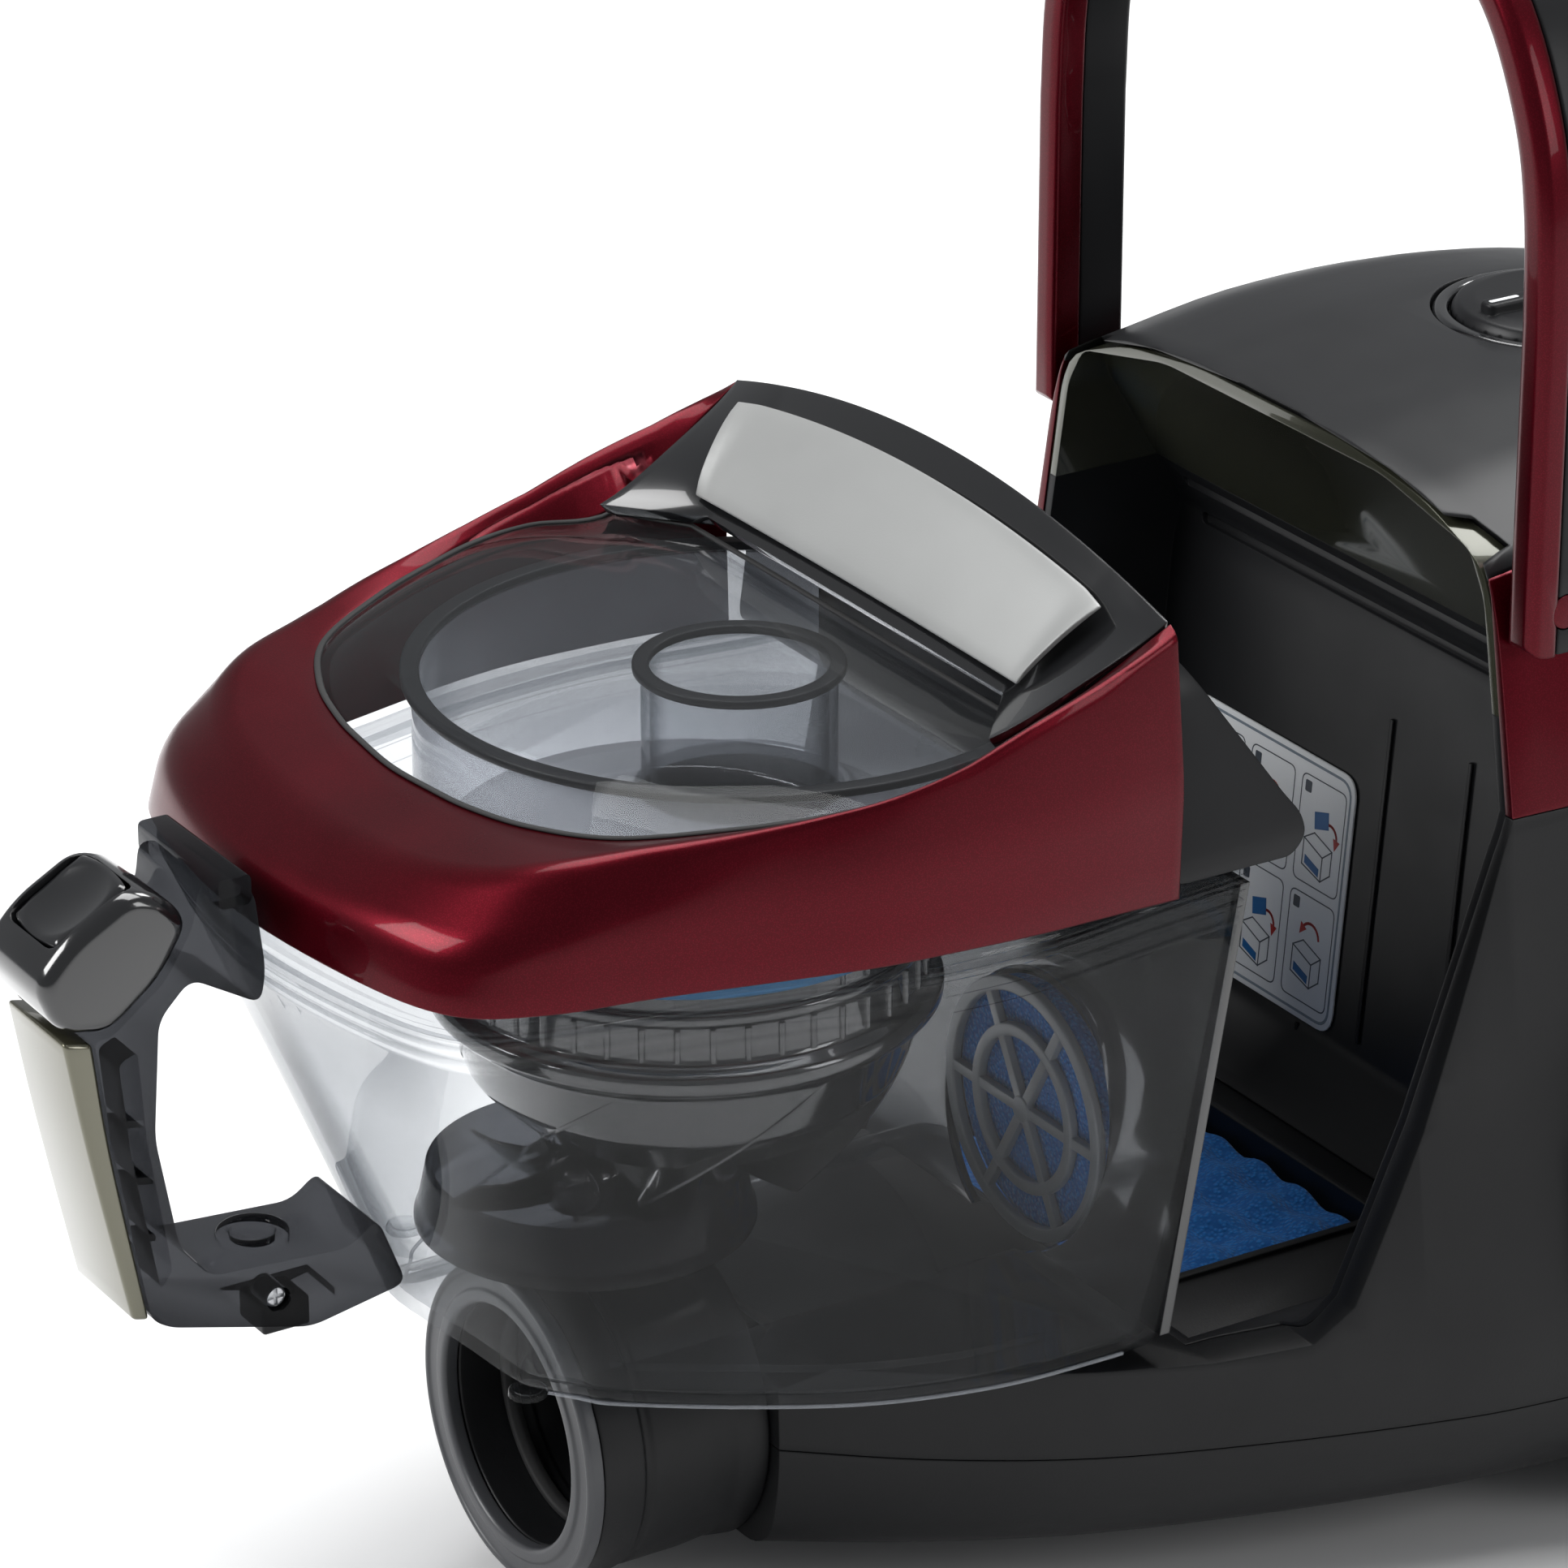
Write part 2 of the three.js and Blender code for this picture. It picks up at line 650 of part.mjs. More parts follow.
// ---------------------------------------------------------------- bin lid
// From the rear corner to the nose: lower rim, bulge, ridge and inner edge.
const LID = [
  [[96.5, -79.5, 188], [97.5, -79.5, 215], [93.5, -79.5, 250], [90.5, -79.5, 252]],
  [[98, -98, 189], [99.5, -98, 216], [95.5, -98, 246], [88, -98, 240.5]],
  [[98.5, -118, 189.5], [100, -118, 215], [96.5, -118, 240.5], [84.5, -118, 228]],
  [[97.7, -138, 190], [99, -138, 214], [96.2, -138, 234], [91, -137, 226.5]],
  [[95.8, -155, 190], [97, -155, 212], [94.5, -154, 229.8], [90.5, -152, 225.5]],
  [[92.5, -170, 190], [93.5, -170, 211], [91, -169, 227.5], [86.5, -167, 224]],
  [[88, -188, 190], [88.5, -188, 210], [86, -187, 225.5], [79, -185, 222.5]],
  [[83, -208, 190], [83, -208, 208], [79, -206, 223.5], [66, -206, 220.5]],
  [[78.5, -230, 190], [78, -229, 207], [72, -224, 221], [48, -217, 219]],
  [[70, -249, 191], [69, -246, 205], [60, -235, 217.5], [30, -222, 218]],
  [[46, -259, 192], [45, -256, 205], [38, -243, 214.5], [15, -224, 217.7]],
  [[0, -264.5, 192.5], [0, -261, 204], [0, -246, 213], [0, -225, 217.5]],
];
const LID_T = 2.4;
const lidRound = [...LID, ...LID.slice(0, -1).reverse().map((s) => s.map(([x, y, z]) => [-x, y, z]))];
const MIDDLE = [0, -150];

function lidSection(section) {
  const inner = section.map(([x, y, z], i) => {
    const away = Math.hypot(x - MIDDLE[0], y - MIDDLE[1]);
    const step = i === 3 ? 0 : LID_T;
    const down = i < 2 ? 0 : LID_T;
    const rear = y > -80 ? 1 : 0;
    const fx = x - ((x - MIDDLE[0]) / away) * step;
    const fy = rear ? y : y - ((y - MIDDLE[1]) / away) * step;
    return [fx, fy, z - down];
  });
  return [...section, ...inner.reverse()];
}
node("lid_cover", loft(lidRound.map(lidSection)), "red");

// Curve of the lid's inner edge, shrunk sideways by a clearance.
const innerEdge = (g) =>
  lidRound.slice(2, -2).map((s) => {
    const [x, y, z] = s[3];
    const away = Math.hypot(x, y + 150);
    return [x * (1 - g / away), y - ((y + 150) * g) / away, z];
  });
const windowRing = (scale, lift) => {
  const ring = [...innerEdge(0.6), [-68, -106, 227.4], [68, -106, 227.4]];
  return ring.map(([x, y, z]) => [x * scale, -140 + (y + 140) * scale, z + lift]);
};
const flatTop = (ring, z) => ring.map(([x, y]) => [x, y, z]);
const windowRings = [
  flatTop(windowRing(0.3, 0), 228.6),
  flatTop(windowRing(0.86, 0), 228.4),
  windowRing(1, 0),
  windowRing(1, -2),
  flatTop(windowRing(0.86, 0), 226.2),
  flatTop(windowRing(0.3, 0), 226.4),
];
node("lid_window", loft(windowRings), "clear");

// The leaning black panel between the lid's two wings.
const panelTop = (x) => [x, -79.8, 252.4 + 12.6 * (1 - (x / 90) ** 2)];
const panelFoot = (x) => {
  const side = Math.max(0, Math.abs(x) - 68) / 16;
  return [x * 0.925, -104.8 - 12.6 * side, 231.4];
};
const PANEL_X = [-90, -84, -76, -68, -45, -22, 0, 22, 45, 68, 76, 84, 90];
const panelSection = (x) => {
  const top = panelTop(x);
  const foot = panelFoot(x);
  const middle = mix(top, foot, 0.5);
  const back = ([a, b, c]) => [a, b + 2, c - 2.6];
  const dip = [middle[0], middle[1] + 1.2, middle[2] - 1.2];
  return [top, dip, foot, back(foot), back(dip), back(top)];
};
// The lid's own form, filled in and grown towards the panel by a clearance.
const lidKeepOut = lidRound.map(([low, bulge, ridge, edge]) => [
  low,
  bulge,
  ridge,
  [edge[0] - Math.sign(edge[0]) * 0.6, edge[1], edge[2]],
  [edge[0] * 0.99, edge[1], edge[2] - 8],
  [low[0] * 0.9, low[1], low[2]],
]);
const panelFit = box(-200, 200, -200, -79.9, 0, 400);
const panelForm = loft(PANEL_X.map(panelSection)).intersect(panelFit);
node("lid_panel", largest(cut(panelForm, loft(lidKeepOut))), "gloss");

const PLATE_X = [-1, -0.66, -0.33, 0, 0.33, 0.66, 1];
const plateSection = (u) => {
  const place = (v, out) => {
    const x = u * (76 - 8 * v);
    const low = mix(panelTop(x), panelFoot(x), 0.2 + 0.72 * v);
    return [x, low[1] - out * 0.76, low[2] + out * 0.65];
  };
  const front = [0, 0.5, 1].map((v) => place(v, 3.4));
  const back = [1, 0.5, 0].map((v) => place(v, 2.1));
  return [...front, ...back];
};
node("lid_plate", loft(PLATE_X.map(plateSection)), "silver");

// Rear frame of the lid, with a rounded tip on each side.
const frameSide = (inset, foot) => [
  [-78.9 + inset, foot],
  [-45 - inset, foot],
  [-41 - inset, 193],
  [-42 - inset, 198 - inset * 0.6],
  [-46 - inset * 0.8, 203 - inset],
  [-74 - inset * 0.4, 243 - inset],
  [-78.9 + inset, 246 - inset],
];
const frameFront = (inset) => {
  const half = [
    [91.5 - inset, 150],
    [91.5 - inset, 190],
    [88.6 - inset, 204],
    [83.4 - inset, 234],
    [76 - inset, 243 - inset],
    [40, 248 - inset],
    [0, 250 - inset],
  ];
  return [...half, ...mirrored(half.slice(0, -1))];
};
const frameForm = (inset, foot) =>
  prism("x", frameSide(inset, foot), -120, 120).intersect(
    prism("y", frameFront(inset), -100, 0),
  );
node("lid_rear_frame", cut(frameForm(0, 188.6), frameForm(2.4, 179.6)), "shell");

// ---------------------------------------------------------------- bin
const BIN = [
  [[90, -57], [87, -77]],
  [[92.5, -82], [87.5, -90]],
  [[96.6, -118], [86, -117]],
  [[93.8, -155], [78, -146]],
  [[86, -188], [64, -172]],
  [[77, -230], [47, -196]],
  [[69, -247], [40, -202]],
  [[45, -257], [25, -212]],
  [[0, -262.8], [0, -220.5]],
];
const binRound = [...BIN, ...BIN.slice(0, -1).reverse().map((s) => s.map(([x, y]) => [-x, y]))];
function binRing(z, inset) {
  const t = (BIN_TOP - z) / (BIN_TOP - BIN_FLOOR);
  return binRound.map(([top, foot]) => {
    const [x, y] = mix(top, foot, t);
    const away = Math.hypot(x, y + 140);
    return [x - (x / away) * inset, y - ((y + 140) / away) * inset, z];
  });
}
const BIN_T = 2.4;
// A channel along the bin's underside lets it slide over the inlet collar.
const channel = (grow) => rod("y", COLLAR_R + 1.2 + grow, -300, -30, 0, INLET_Z, 40);
const binOuter = loft([
  binRing(BIN_FLOOR, 5),
  binRing(BIN_FLOOR + 3, 0.8),
  binRing(BIN_FLOOR + 7, 0),
  binRing(BIN_TOP, 0),
]);
const binInner = loft([
  binRing(BIN_FLOOR + BIN_T, 6),
  binRing(BIN_FLOOR + 6, BIN_T),
  binRing(BIN_TOP + 5, BIN_T),
]);
const OUTLET = rod("y", GRILLE.r, -100, -30, GRILLE.x, GRILLE.z, 24);
const binHollow = cut(binInner, channel(BIN_T));
node("bin_container", cut(binOuter, channel(0), binHollow, OUTLET), "clear");
const rimRing = (inset, z) => binRing(BIN_TOP, inset).map(([x, y]) => [x, y, z]);
const rim = cut(
  loft([rimRing(0, BIN_TOP + 0.3), rimRing(0.2, BIN_TOP + 3.4)]),
  loft([rimRing(6, BIN_TOP - 1), rimRing(6, BIN_TOP + 6)]),
);
node("lid_rim", rim, "clear");

const backLine = (z) => -57 - ((BIN_TOP - z) * 20) / (BIN_TOP - BIN_FLOOR);
const backPlate = prism("x", [
  [backLine(183) + 0.4, 183],
  [backLine(74) + 0.4, 74],
  [backLine(74) + 3, 74],
  [backLine(183) + 3, 183],
], -88, 88);
const plateHole = rod("y", GRILLE.r + 0.4, -120, -30, GRILLE.x, GRILLE.z, 24);
node("bin_back_plate", cut(backPlate, plateHole), "gloss");
const grilleY = backLine(GRILLE.z);
const spokes = [0, 60, 120].map((angle) =>
  box(-30, 30, -1.2, 1.2, -1.4, 1.4)
    .rotate([0, angle, 0])
    .translate([GRILLE.x, grilleY, GRILLE.z]),
);
const grilleRings = [[32.4, 28.6], [21, 17.6]].map(([r, inner]) =>
  tube("y", r, inner, grilleY - 1.2, grilleY + 1.2, GRILLE.x, GRILLE.z, 24),
);
node("outlet_grille", join(...grilleRings, ...spokes), "grey");
const outletFoam = rod("y", 31.5, grilleY + 1.6, grilleY + 7, GRILLE.x, GRILLE.z, 24);
node("outlet_foam", outletFoam, "foam");

// ---------------------------------------------------------------- cyclone
const sleeveFit = box(-100, 100, -300, -82, 0, 400);
const sleeve = tube("z", 74.5, 72.5, 190, 221, 0, RING_Y, 36);
node("cyclone_sleeve", sleeve.intersect(sleeveFit), "clear");
const sleeveSeal = tube("z", 77, 72.5, 221.4, 223.6, 0, RING_Y, 36);
node("cyclone_seal", sleeveSeal.intersect(sleeveFit), "gloss");
node("vortex_tube", tube("z", 22.5, 20.5, 172, 221, 0, RING_Y, 24), "clear");
node("vortex_seal", tube("z", 24.5, 20.5, 221.4, 223.6, 0, RING_Y, 24), "gloss");
const drum = turned("z", [
  [38, 171],
  [38, 182],
  [56, 182],
  [56, 150],
  [60, 148],
  [60, 144],
  [55, 141],
  [51, 127],
  [40, 116],
  [21, 111],
  [18, 106],
  [15, 106],
  [18, 113],
  [38, 118],
  [48, 129],
  [53, 144],
  [53, 179],
  [41, 179],
  [41, 171],
  [38, 171],
].reverse(), [DRUM.x, DRUM.y, 0], 28);
node("cyclone_drum", drum, "smoke");
const turbineCup = turned("z", [
  [5, TURBINE.z - 6],
  [40, TURBINE.z - 6],
  [37, TURBINE.z + 8],
  [35.4, TURBINE.z + 8],
  [38, TURBINE.z - 4],
  [5, TURBINE.z - 4],
  [5, TURBINE.z - 6],
], [TURBINE.x, TURBINE.y, 0], 24);
node("turbine_cup", turbineCup, "clear");
const bladeCount = 6;
const bladeRadii = [3, 10, 17, 24, 32];
const blades = Array.from({ length: bladeCount }, (_, i) => {
  const edge = (w) => bladeRadii.map((r) => {
    const a = (i * 2 * Math.PI) / bladeCount + r * 0.014;
    return [
      TURBINE.x + r * Math.cos(a) - w * Math.sin(a),
      TURBINE.y + r * Math.sin(a) + w * Math.cos(a),
    ];
  });
  const outline = [...edge(-0.8), ...edge(0.8).reverse()];
  return prism("z", outline, TURBINE.z - 2, TURBINE.z + 8);
});
const rotorCore = rod("z", 9, TURBINE.z - 3, TURBINE.z + 9.6, TURBINE.x, TURBINE.y, 16);
node("turbine_rotor", join(rotorCore, ...blades), "smoke");

// ---------------------------------------------------------------- bin handle
const gripOutline = [
  [-264.6, 184],
  [-267, 204],
  [-280.4, 208],
  [-281.6, 198.6],
  [-289, 187],
  [-302.4, 177],
  [-306.6, 177],
  [-303, 148],
  [-295.5, 106],
  [-291, 103],
  [-256, 93.5],
  [-231.6, 98],
  [-238.6, 116],
  [-246, 110.5],
  [-281, 113],
  [-288, 122],
  [-293, 150],
  [-291, 178],
  [-283, 186],
  [-266, 176],
];
const LATCH_SLOT = box(-6.6, 6.6, -268, -246, 80, 97.4);
const pocketOutline = [
  [-301, 170],
  [-298, 148],
  [-291, 112],
  [-287, 116],
  [-292, 150],
  [-294, 172],
];
const ribPocket = prism("x", pocketOutline, 4, 20);
const SCREW_HOLE = rod("x", 3, 6, 20, -264, 102.6, 16);
const hingeBar = box(-19, 19, -278, -270, 203, 210);
const handleFrame = cut(
  join(prism("x", rounded(gripOutline, 3, 2), -GRIP_HALF, GRIP_HALF), hingeBar),
  LATCH_SLOT,
  ribPocket,
  SCREW_HOLE,
);
node("bin_handle", handleFrame, "smoke");
const frontOutline = [
  [-307, 176.4],
  [-303.4, 148],
  [-295.9, 106],
  [-300, 107],
  [-308.6, 148],
  [-314, 178],
];
node("handle_front_cover", prism("x", frontOutline, -GRIP_HALF, GRIP_HALF), "gloss");

const capOutline = [
  [-320, 192.5],
  [-311.5, 202],
  [-297, 210],
  [-288.4, 207],
  [-282.2, 199.6],
  [-289.6, 187.8],
  [-302.6, 177.6],
  [-315, 180.5],
];
// The push button sinks along the slope's normal.
const BUTTON = { y: -305, z: 205.6, lean: Math.atan2(14, 23) };
const buttonBlock = (length, half, top, bottom) =>
  box(-half, half, -length / 2, length / 2, -bottom, top)
    .rotate([(BUTTON.lean * 180) / Math.PI, 0, 0])
    .translate([0, BUTTON.y, BUTTON.z]);
const capBlock = prism("x", rounded(capOutline, 4, 2), -GRIP_HALF - 1, GRIP_HALF + 1);
node("handle_cap", cut(capBlock, buttonBlock(22.8, 11.4, 10, 10)), "gloss");
node("push_button", buttonBlock(22, 11, -0.6, 5.6), "gloss");
node("bin_latch", box(-6, 6, -264, -252, 89.5, 97), "gloss");
const screwSlot = box(11.8, 14, -266, -262, 102.1, 103.1);
node("handle_screw", cut(rod("x", 2.6, 6.4, 12.6, -264, 102.6, 16), screwSlot), "metal");

export default vacuum;
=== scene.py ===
"""Looks of the canister vacuum cleaner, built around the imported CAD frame."""

import json
import math
import random

import bmesh
import bpy
import numpy as np
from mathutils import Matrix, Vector


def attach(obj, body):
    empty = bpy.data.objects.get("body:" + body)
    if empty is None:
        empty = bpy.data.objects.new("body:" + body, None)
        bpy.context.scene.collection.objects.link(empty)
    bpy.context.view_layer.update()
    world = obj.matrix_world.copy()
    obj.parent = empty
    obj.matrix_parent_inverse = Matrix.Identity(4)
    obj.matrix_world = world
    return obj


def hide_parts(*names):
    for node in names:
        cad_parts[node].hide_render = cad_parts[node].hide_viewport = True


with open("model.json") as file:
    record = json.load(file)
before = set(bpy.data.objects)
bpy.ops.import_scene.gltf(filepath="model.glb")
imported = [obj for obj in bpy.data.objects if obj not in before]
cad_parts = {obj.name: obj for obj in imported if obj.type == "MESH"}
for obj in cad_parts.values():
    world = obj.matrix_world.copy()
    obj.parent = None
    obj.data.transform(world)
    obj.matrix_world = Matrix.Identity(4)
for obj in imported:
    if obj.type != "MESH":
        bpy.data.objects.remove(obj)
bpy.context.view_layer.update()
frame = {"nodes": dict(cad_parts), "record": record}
scene = bpy.context.scene
random.seed(7)

SHIFT_Y = 64.5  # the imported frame's Y minus the design's Y, in mm
GAP = 0.3  # between neighbouring shells, in mm


def placed(name, data):
    """A new object in the scene."""
    obj = bpy.data.objects.new(name, data)
    scene.collection.objects.link(obj)
    return obj


# ---- camera
SENSOR = 36


def camera_at(azimuth, elevation, distance, target, lens):
    """Angles in degrees, distances in metres and the lens in mm."""
    a, e = math.radians(azimuth), math.radians(elevation)
    back = Vector((math.sin(a) * math.cos(e), -math.cos(a) * math.cos(e), math.sin(e)))
    data = bpy.data.cameras.new("camera")
    data.sensor_width = SENSOR
    data.lens = lens
    data.clip_start = 0.05
    camera = placed("camera", data)
    camera.location = Vector(target) + back * distance
    camera.rotation_euler = back.to_track_quat("Z", "Y").to_euler()
    scene.camera = camera


FOCAL_TO_WIDTH = 8600 / 1932  # the photo's focal length over its width
camera_at(58.1, 23.5, 1.6, (0.0, -0.0582, 0.1902), FOCAL_TO_WIDTH * SENSOR)


# ---- meshes
def metres(p):
    return (p[0] / 1000, (p[1] + SHIFT_Y) / 1000, p[2] / 1000)


def mesh_object(points, faces):
    mesh = bpy.data.meshes.new("form")
    mesh.from_pydata([metres(p) for p in points], [], faces)
    bm = bmesh.new()
    bm.from_mesh(mesh)
    bmesh.ops.remove_doubles(bm, verts=bm.verts, dist=1e-7)
    bmesh.ops.recalc_face_normals(bm, faces=bm.faces)
    bm.to_mesh(mesh)
    bm.free()
    return placed("form", mesh)


def loft(rings, loop=False):
    """A closed skin through rings of equally many points, or round a loop of them."""
    count = len(rings[0])
    points = [p for ring in rings for p in ring]
    faces = []
    for i in range(len(rings) if loop else len(rings) - 1):
        a, b = i * count, ((i + 1) % len(rings)) * count
        for k in range(count):
            n = (k + 1) % count
            faces.append((a + k, a + n, b + n, b + k))
    if not loop:
        faces.append(tuple(range(count))[::-1])
        faces.append(tuple(range(len(points) - count, len(points))))
    return mesh_object(points, faces)


def eased(before, corner, after, radius, share, steps):
    """The curve that replaces a corner; it uses at most 1/share of each side."""
    back, onward = before - corner, after - corner
    lb, la = np.linalg.norm(back), np.linalg.norm(onward)
    r = min(radius, lb / share, la / share)
    a, b = corner + back * (r / lb), corner + onward * (r / la)
    turns = [k / steps for k in range(steps + 1)]
    return [(1 - t) ** 2 * a + 2 * t * (1 - t) * corner + t * t * b for t in turns]


def rounded(points, radius, steps=4, skip_axis=False):
    """The closed outline, in any number of dimensions, with its corners rounded."""
    p = [np.array(q, float) for q in points]
    out = []
    for i, q in enumerate(p):
        if skip_axis and abs(q[0]) < 0.01:
            out.append(q)
        else:
            out += eased(p[i - 1], q, p[(i + 1) % len(p)], radius, 2.2, steps)
    return out


def oblong(x0, x1, y0, y1, radius, steps=4):
    return rounded([(x0, y0), (x1, y0), (x1, y1), (x0, y1)], radius, steps)


def curve(rows, per, closed=False):
    """Catmull-Rom curve through rows of numbers."""
    r = np.array(rows, float)
    n = len(r)
    out = []
    for i in range(n if closed else n - 1):
        if closed:
            p = [r[(i + k) % n] for k in (-1, 0, 1, 2)]
        else:
            first = r[i - 1] if i else 2 * r[0] - r[1]
            last = r[i + 2] if i + 2 < n else 2 * r[-1] - r[-2]
            p = [first, r[i], r[i + 1], last]
        for k in range(per):
            t = k / per
            bend = (2 * p[0] - 5 * p[1] + 4 * p[2] - p[3]) * t**2
            turn = (3 * p[1] - p[0] - 3 * p[2] + p[3]) * t**3
            out.append(0.5 * (2 * p[1] + (p[2] - p[0]) * t + bend + turn))
    if not closed:
        out.append(r[-1])
    return out


def along(axis, a, b, h):
    return {"x": (h, a, b), "y": (a, h, b), "z": (a, b, h)}[axis]


def prism(axis, outline, low, high):
    """Along x the outline is (y, z), along y it is (x, z) and along z it is (x, y)."""
    return loft([[along(axis, p[0], p[1], h) for p in outline] for h in (low, high)])


def box(x0, x1, y0, y1, z0, z1):
    return prism("z", [(x0, y0), (x1, y0), (x1, y1), (x0, y1)], z0, z1)


def lathe(axis, profile, at, segments=72, soft=0.0, steps=3):
    """Turns (radius, height) pairs about a line through `at`."""
    if soft:
        profile = rounded(profile, soft, steps, skip_axis=True)
    rings = []
    for i in range(segments):
        a = 2 * math.pi * i / segments
        c, s = math.cos(a), math.sin(a)
        ring = []
        for r, h in profile:
            x, y, z = along(axis, r * c, r * s, h)
            ring.append((x + at[0], y + at[1], z + at[2]))
        rings.append(ring)
    return loft(rings, loop=True)


def rod(axis, r, low, high, a, b, segments=64, soft=0.0):
    profile = [(0, low), (r, low), (r, high), (0, high)]
    return lathe(axis, profile, along(axis, a, b, 0), segments, soft)


def tube(axis, r, inner, low, high, a, b, segments=72, soft=0.0):
    profile = [(inner, low), (r, low), (r, high), (inner, high)]
    return lathe(axis, profile, along(axis, a, b, 0), segments, soft)


def slab(tops, row, bottom):
    """A closed block under a grid of top points, `row` points to a row."""
    count = len(tops)
    lines = count // row
    faces = []
    for j in range(lines - 1):
        for i in range(row - 1):
            a = j * row + i
            quad = (a, a + 1, a + row + 1, a + row)
            faces += [quad, tuple(count + q for q in reversed(quad))]
    rim = list(range(row - 1)) + [row - 1 + j * row for j in range(lines - 1)]
    rim += [count - 1 - i for i in range(row - 1)] + [(lines - 1 - j) * row for j in range(lines - 1)]
    for a, b in zip(rim, rim[1:] + rim[:1]):
        faces.append((a, b, count + b, count + a))
    return mesh_object(tops + [(x, y, bottom) for x, y, _ in tops], faces)


def blade(levels, count, span, place):
    """A thin curved blade: span(t) gives its radii, place(t, radius, side) its points."""
    rings = []
    for k in range(levels):
        t = k / (levels - 1)
        radii = np.linspace(*span(t), count)
        rings.append([place(t, r, -0.7) for r in radii] + [place(t, r, 0.7) for r in radii[::-1]])
    return loft(rings)


def around(count, radius, x, y):
    """Points evenly spaced on a circle."""
    turns = [2 * math.pi * i / count for i in range(count)]
    return [(x + radius * math.cos(a), y + radius * math.sin(a)) for a in turns]


def spoke(outline, angle, x, y):
    """A (radius, width) outline turned about a centre."""
    c, s = math.cos(angle), math.sin(angle)
    return [(x + c * r - s * w, y + s * r + c * w) for r, w in outline]


def bake(obj):
    graph = bpy.context.evaluated_depsgraph_get()
    mesh = bpy.data.meshes.new_from_object(obj.evaluated_get(graph))
    obj.modifiers.clear()
    old, obj.data = obj.data, mesh
    bpy.data.meshes.remove(old)
    return obj


def copied(obj):
    return placed("form", obj.data.copy())


def discard(obj):
    mesh = obj.data
    bpy.data.objects.remove(obj)
    bpy.data.meshes.remove(mesh)


def combine(kind, first, others):
    for other in others:
        step = first.modifiers.new("step", "BOOLEAN")
        step.operation = kind
        step.solver = "MANIFOLD"
        step.object = other
        bake(first)
        discard(other)
    return first


def cut(first, *others):
    return combine("DIFFERENCE", first, others)


def join(first, *others):
    return combine("UNION", first, others)


def overlap(first, other):
    return combine("INTERSECT", first, [other])


def gathered(objects):
    """Separate forms as one mesh, with no boolean."""
    points, faces = [], []
    for obj in objects:
        start = len(points)
        points += [v.co.copy() for v in obj.data.vertices]
        faces += [tuple(start + i for i in f.vertices) for f in obj.data.polygons]
        discard(obj)
    mesh = bpy.data.meshes.new("form")
    mesh.from_pydata(points, [], faces)
    return placed("form", mesh)


def largest(obj):
    """Keeps the largest loose part."""
    bm = bmesh.new()
    bm.from_mesh(obj.data)
    left = set(bm.verts)
    parts = []
    while left:
        seed = left.pop()
        group, stack = {seed}, [seed]
        while stack:
            for edge in stack.pop().link_edges:
                for v in edge.verts:
                    if v in left:
                        left.remove(v)
                        group.add(v)
                        stack.append(v)
        parts.append(group)
    parts.sort(key=len)
    for group in parts[:-1]:
        bmesh.ops.delete(bm, geom=list(group), context="VERTS")
    bm.to_mesh(obj.data)
    bm.free()
    return obj


def softened(obj, width, segments=3, angle=32):
    step = obj.modifiers.new("edges", "BEVEL")
    step.width = width / 1000
    step.segments = segments
    step.limit_method = "ANGLE"
    step.angle_limit = math.radians(angle)
    step.use_clamp_overlap = True
    return bake(obj)


def smooth(mesh, angle):
    mesh.polygons.foreach_set("use_smooth", [True] * len(mesh.polygons))
    mesh.set_sharp_from_angle(angle=math.radians(angle))


def piece(obj, name, body, slot, nodes=(), angle=32, finish=None):
    """Names, smooths and colours a piece, and tells the frame where it belongs."""
    obj.name = name
    obj.data.name = name
    smooth(obj.data, angle)
    obj.data.materials.clear()
    obj.data.materials.append(FINISH[finish or slot])
    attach(obj, body)
    if nodes:
        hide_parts(*nodes)
    return obj


def form(obj, node, body, slot, angle=32, finish=None):
    """The finished form of one CAD node."""
    return piece(obj, node + "_form", body, slot, [node], angle, finish)


def mirrored(points):
    return [(-p[0], *p[1:]) for p in reversed(points)]


def mix(a, b, t):
    return tuple(p + (q - p) * t for p, q in zip(a, b))


# ---- materials
FINISH = {}


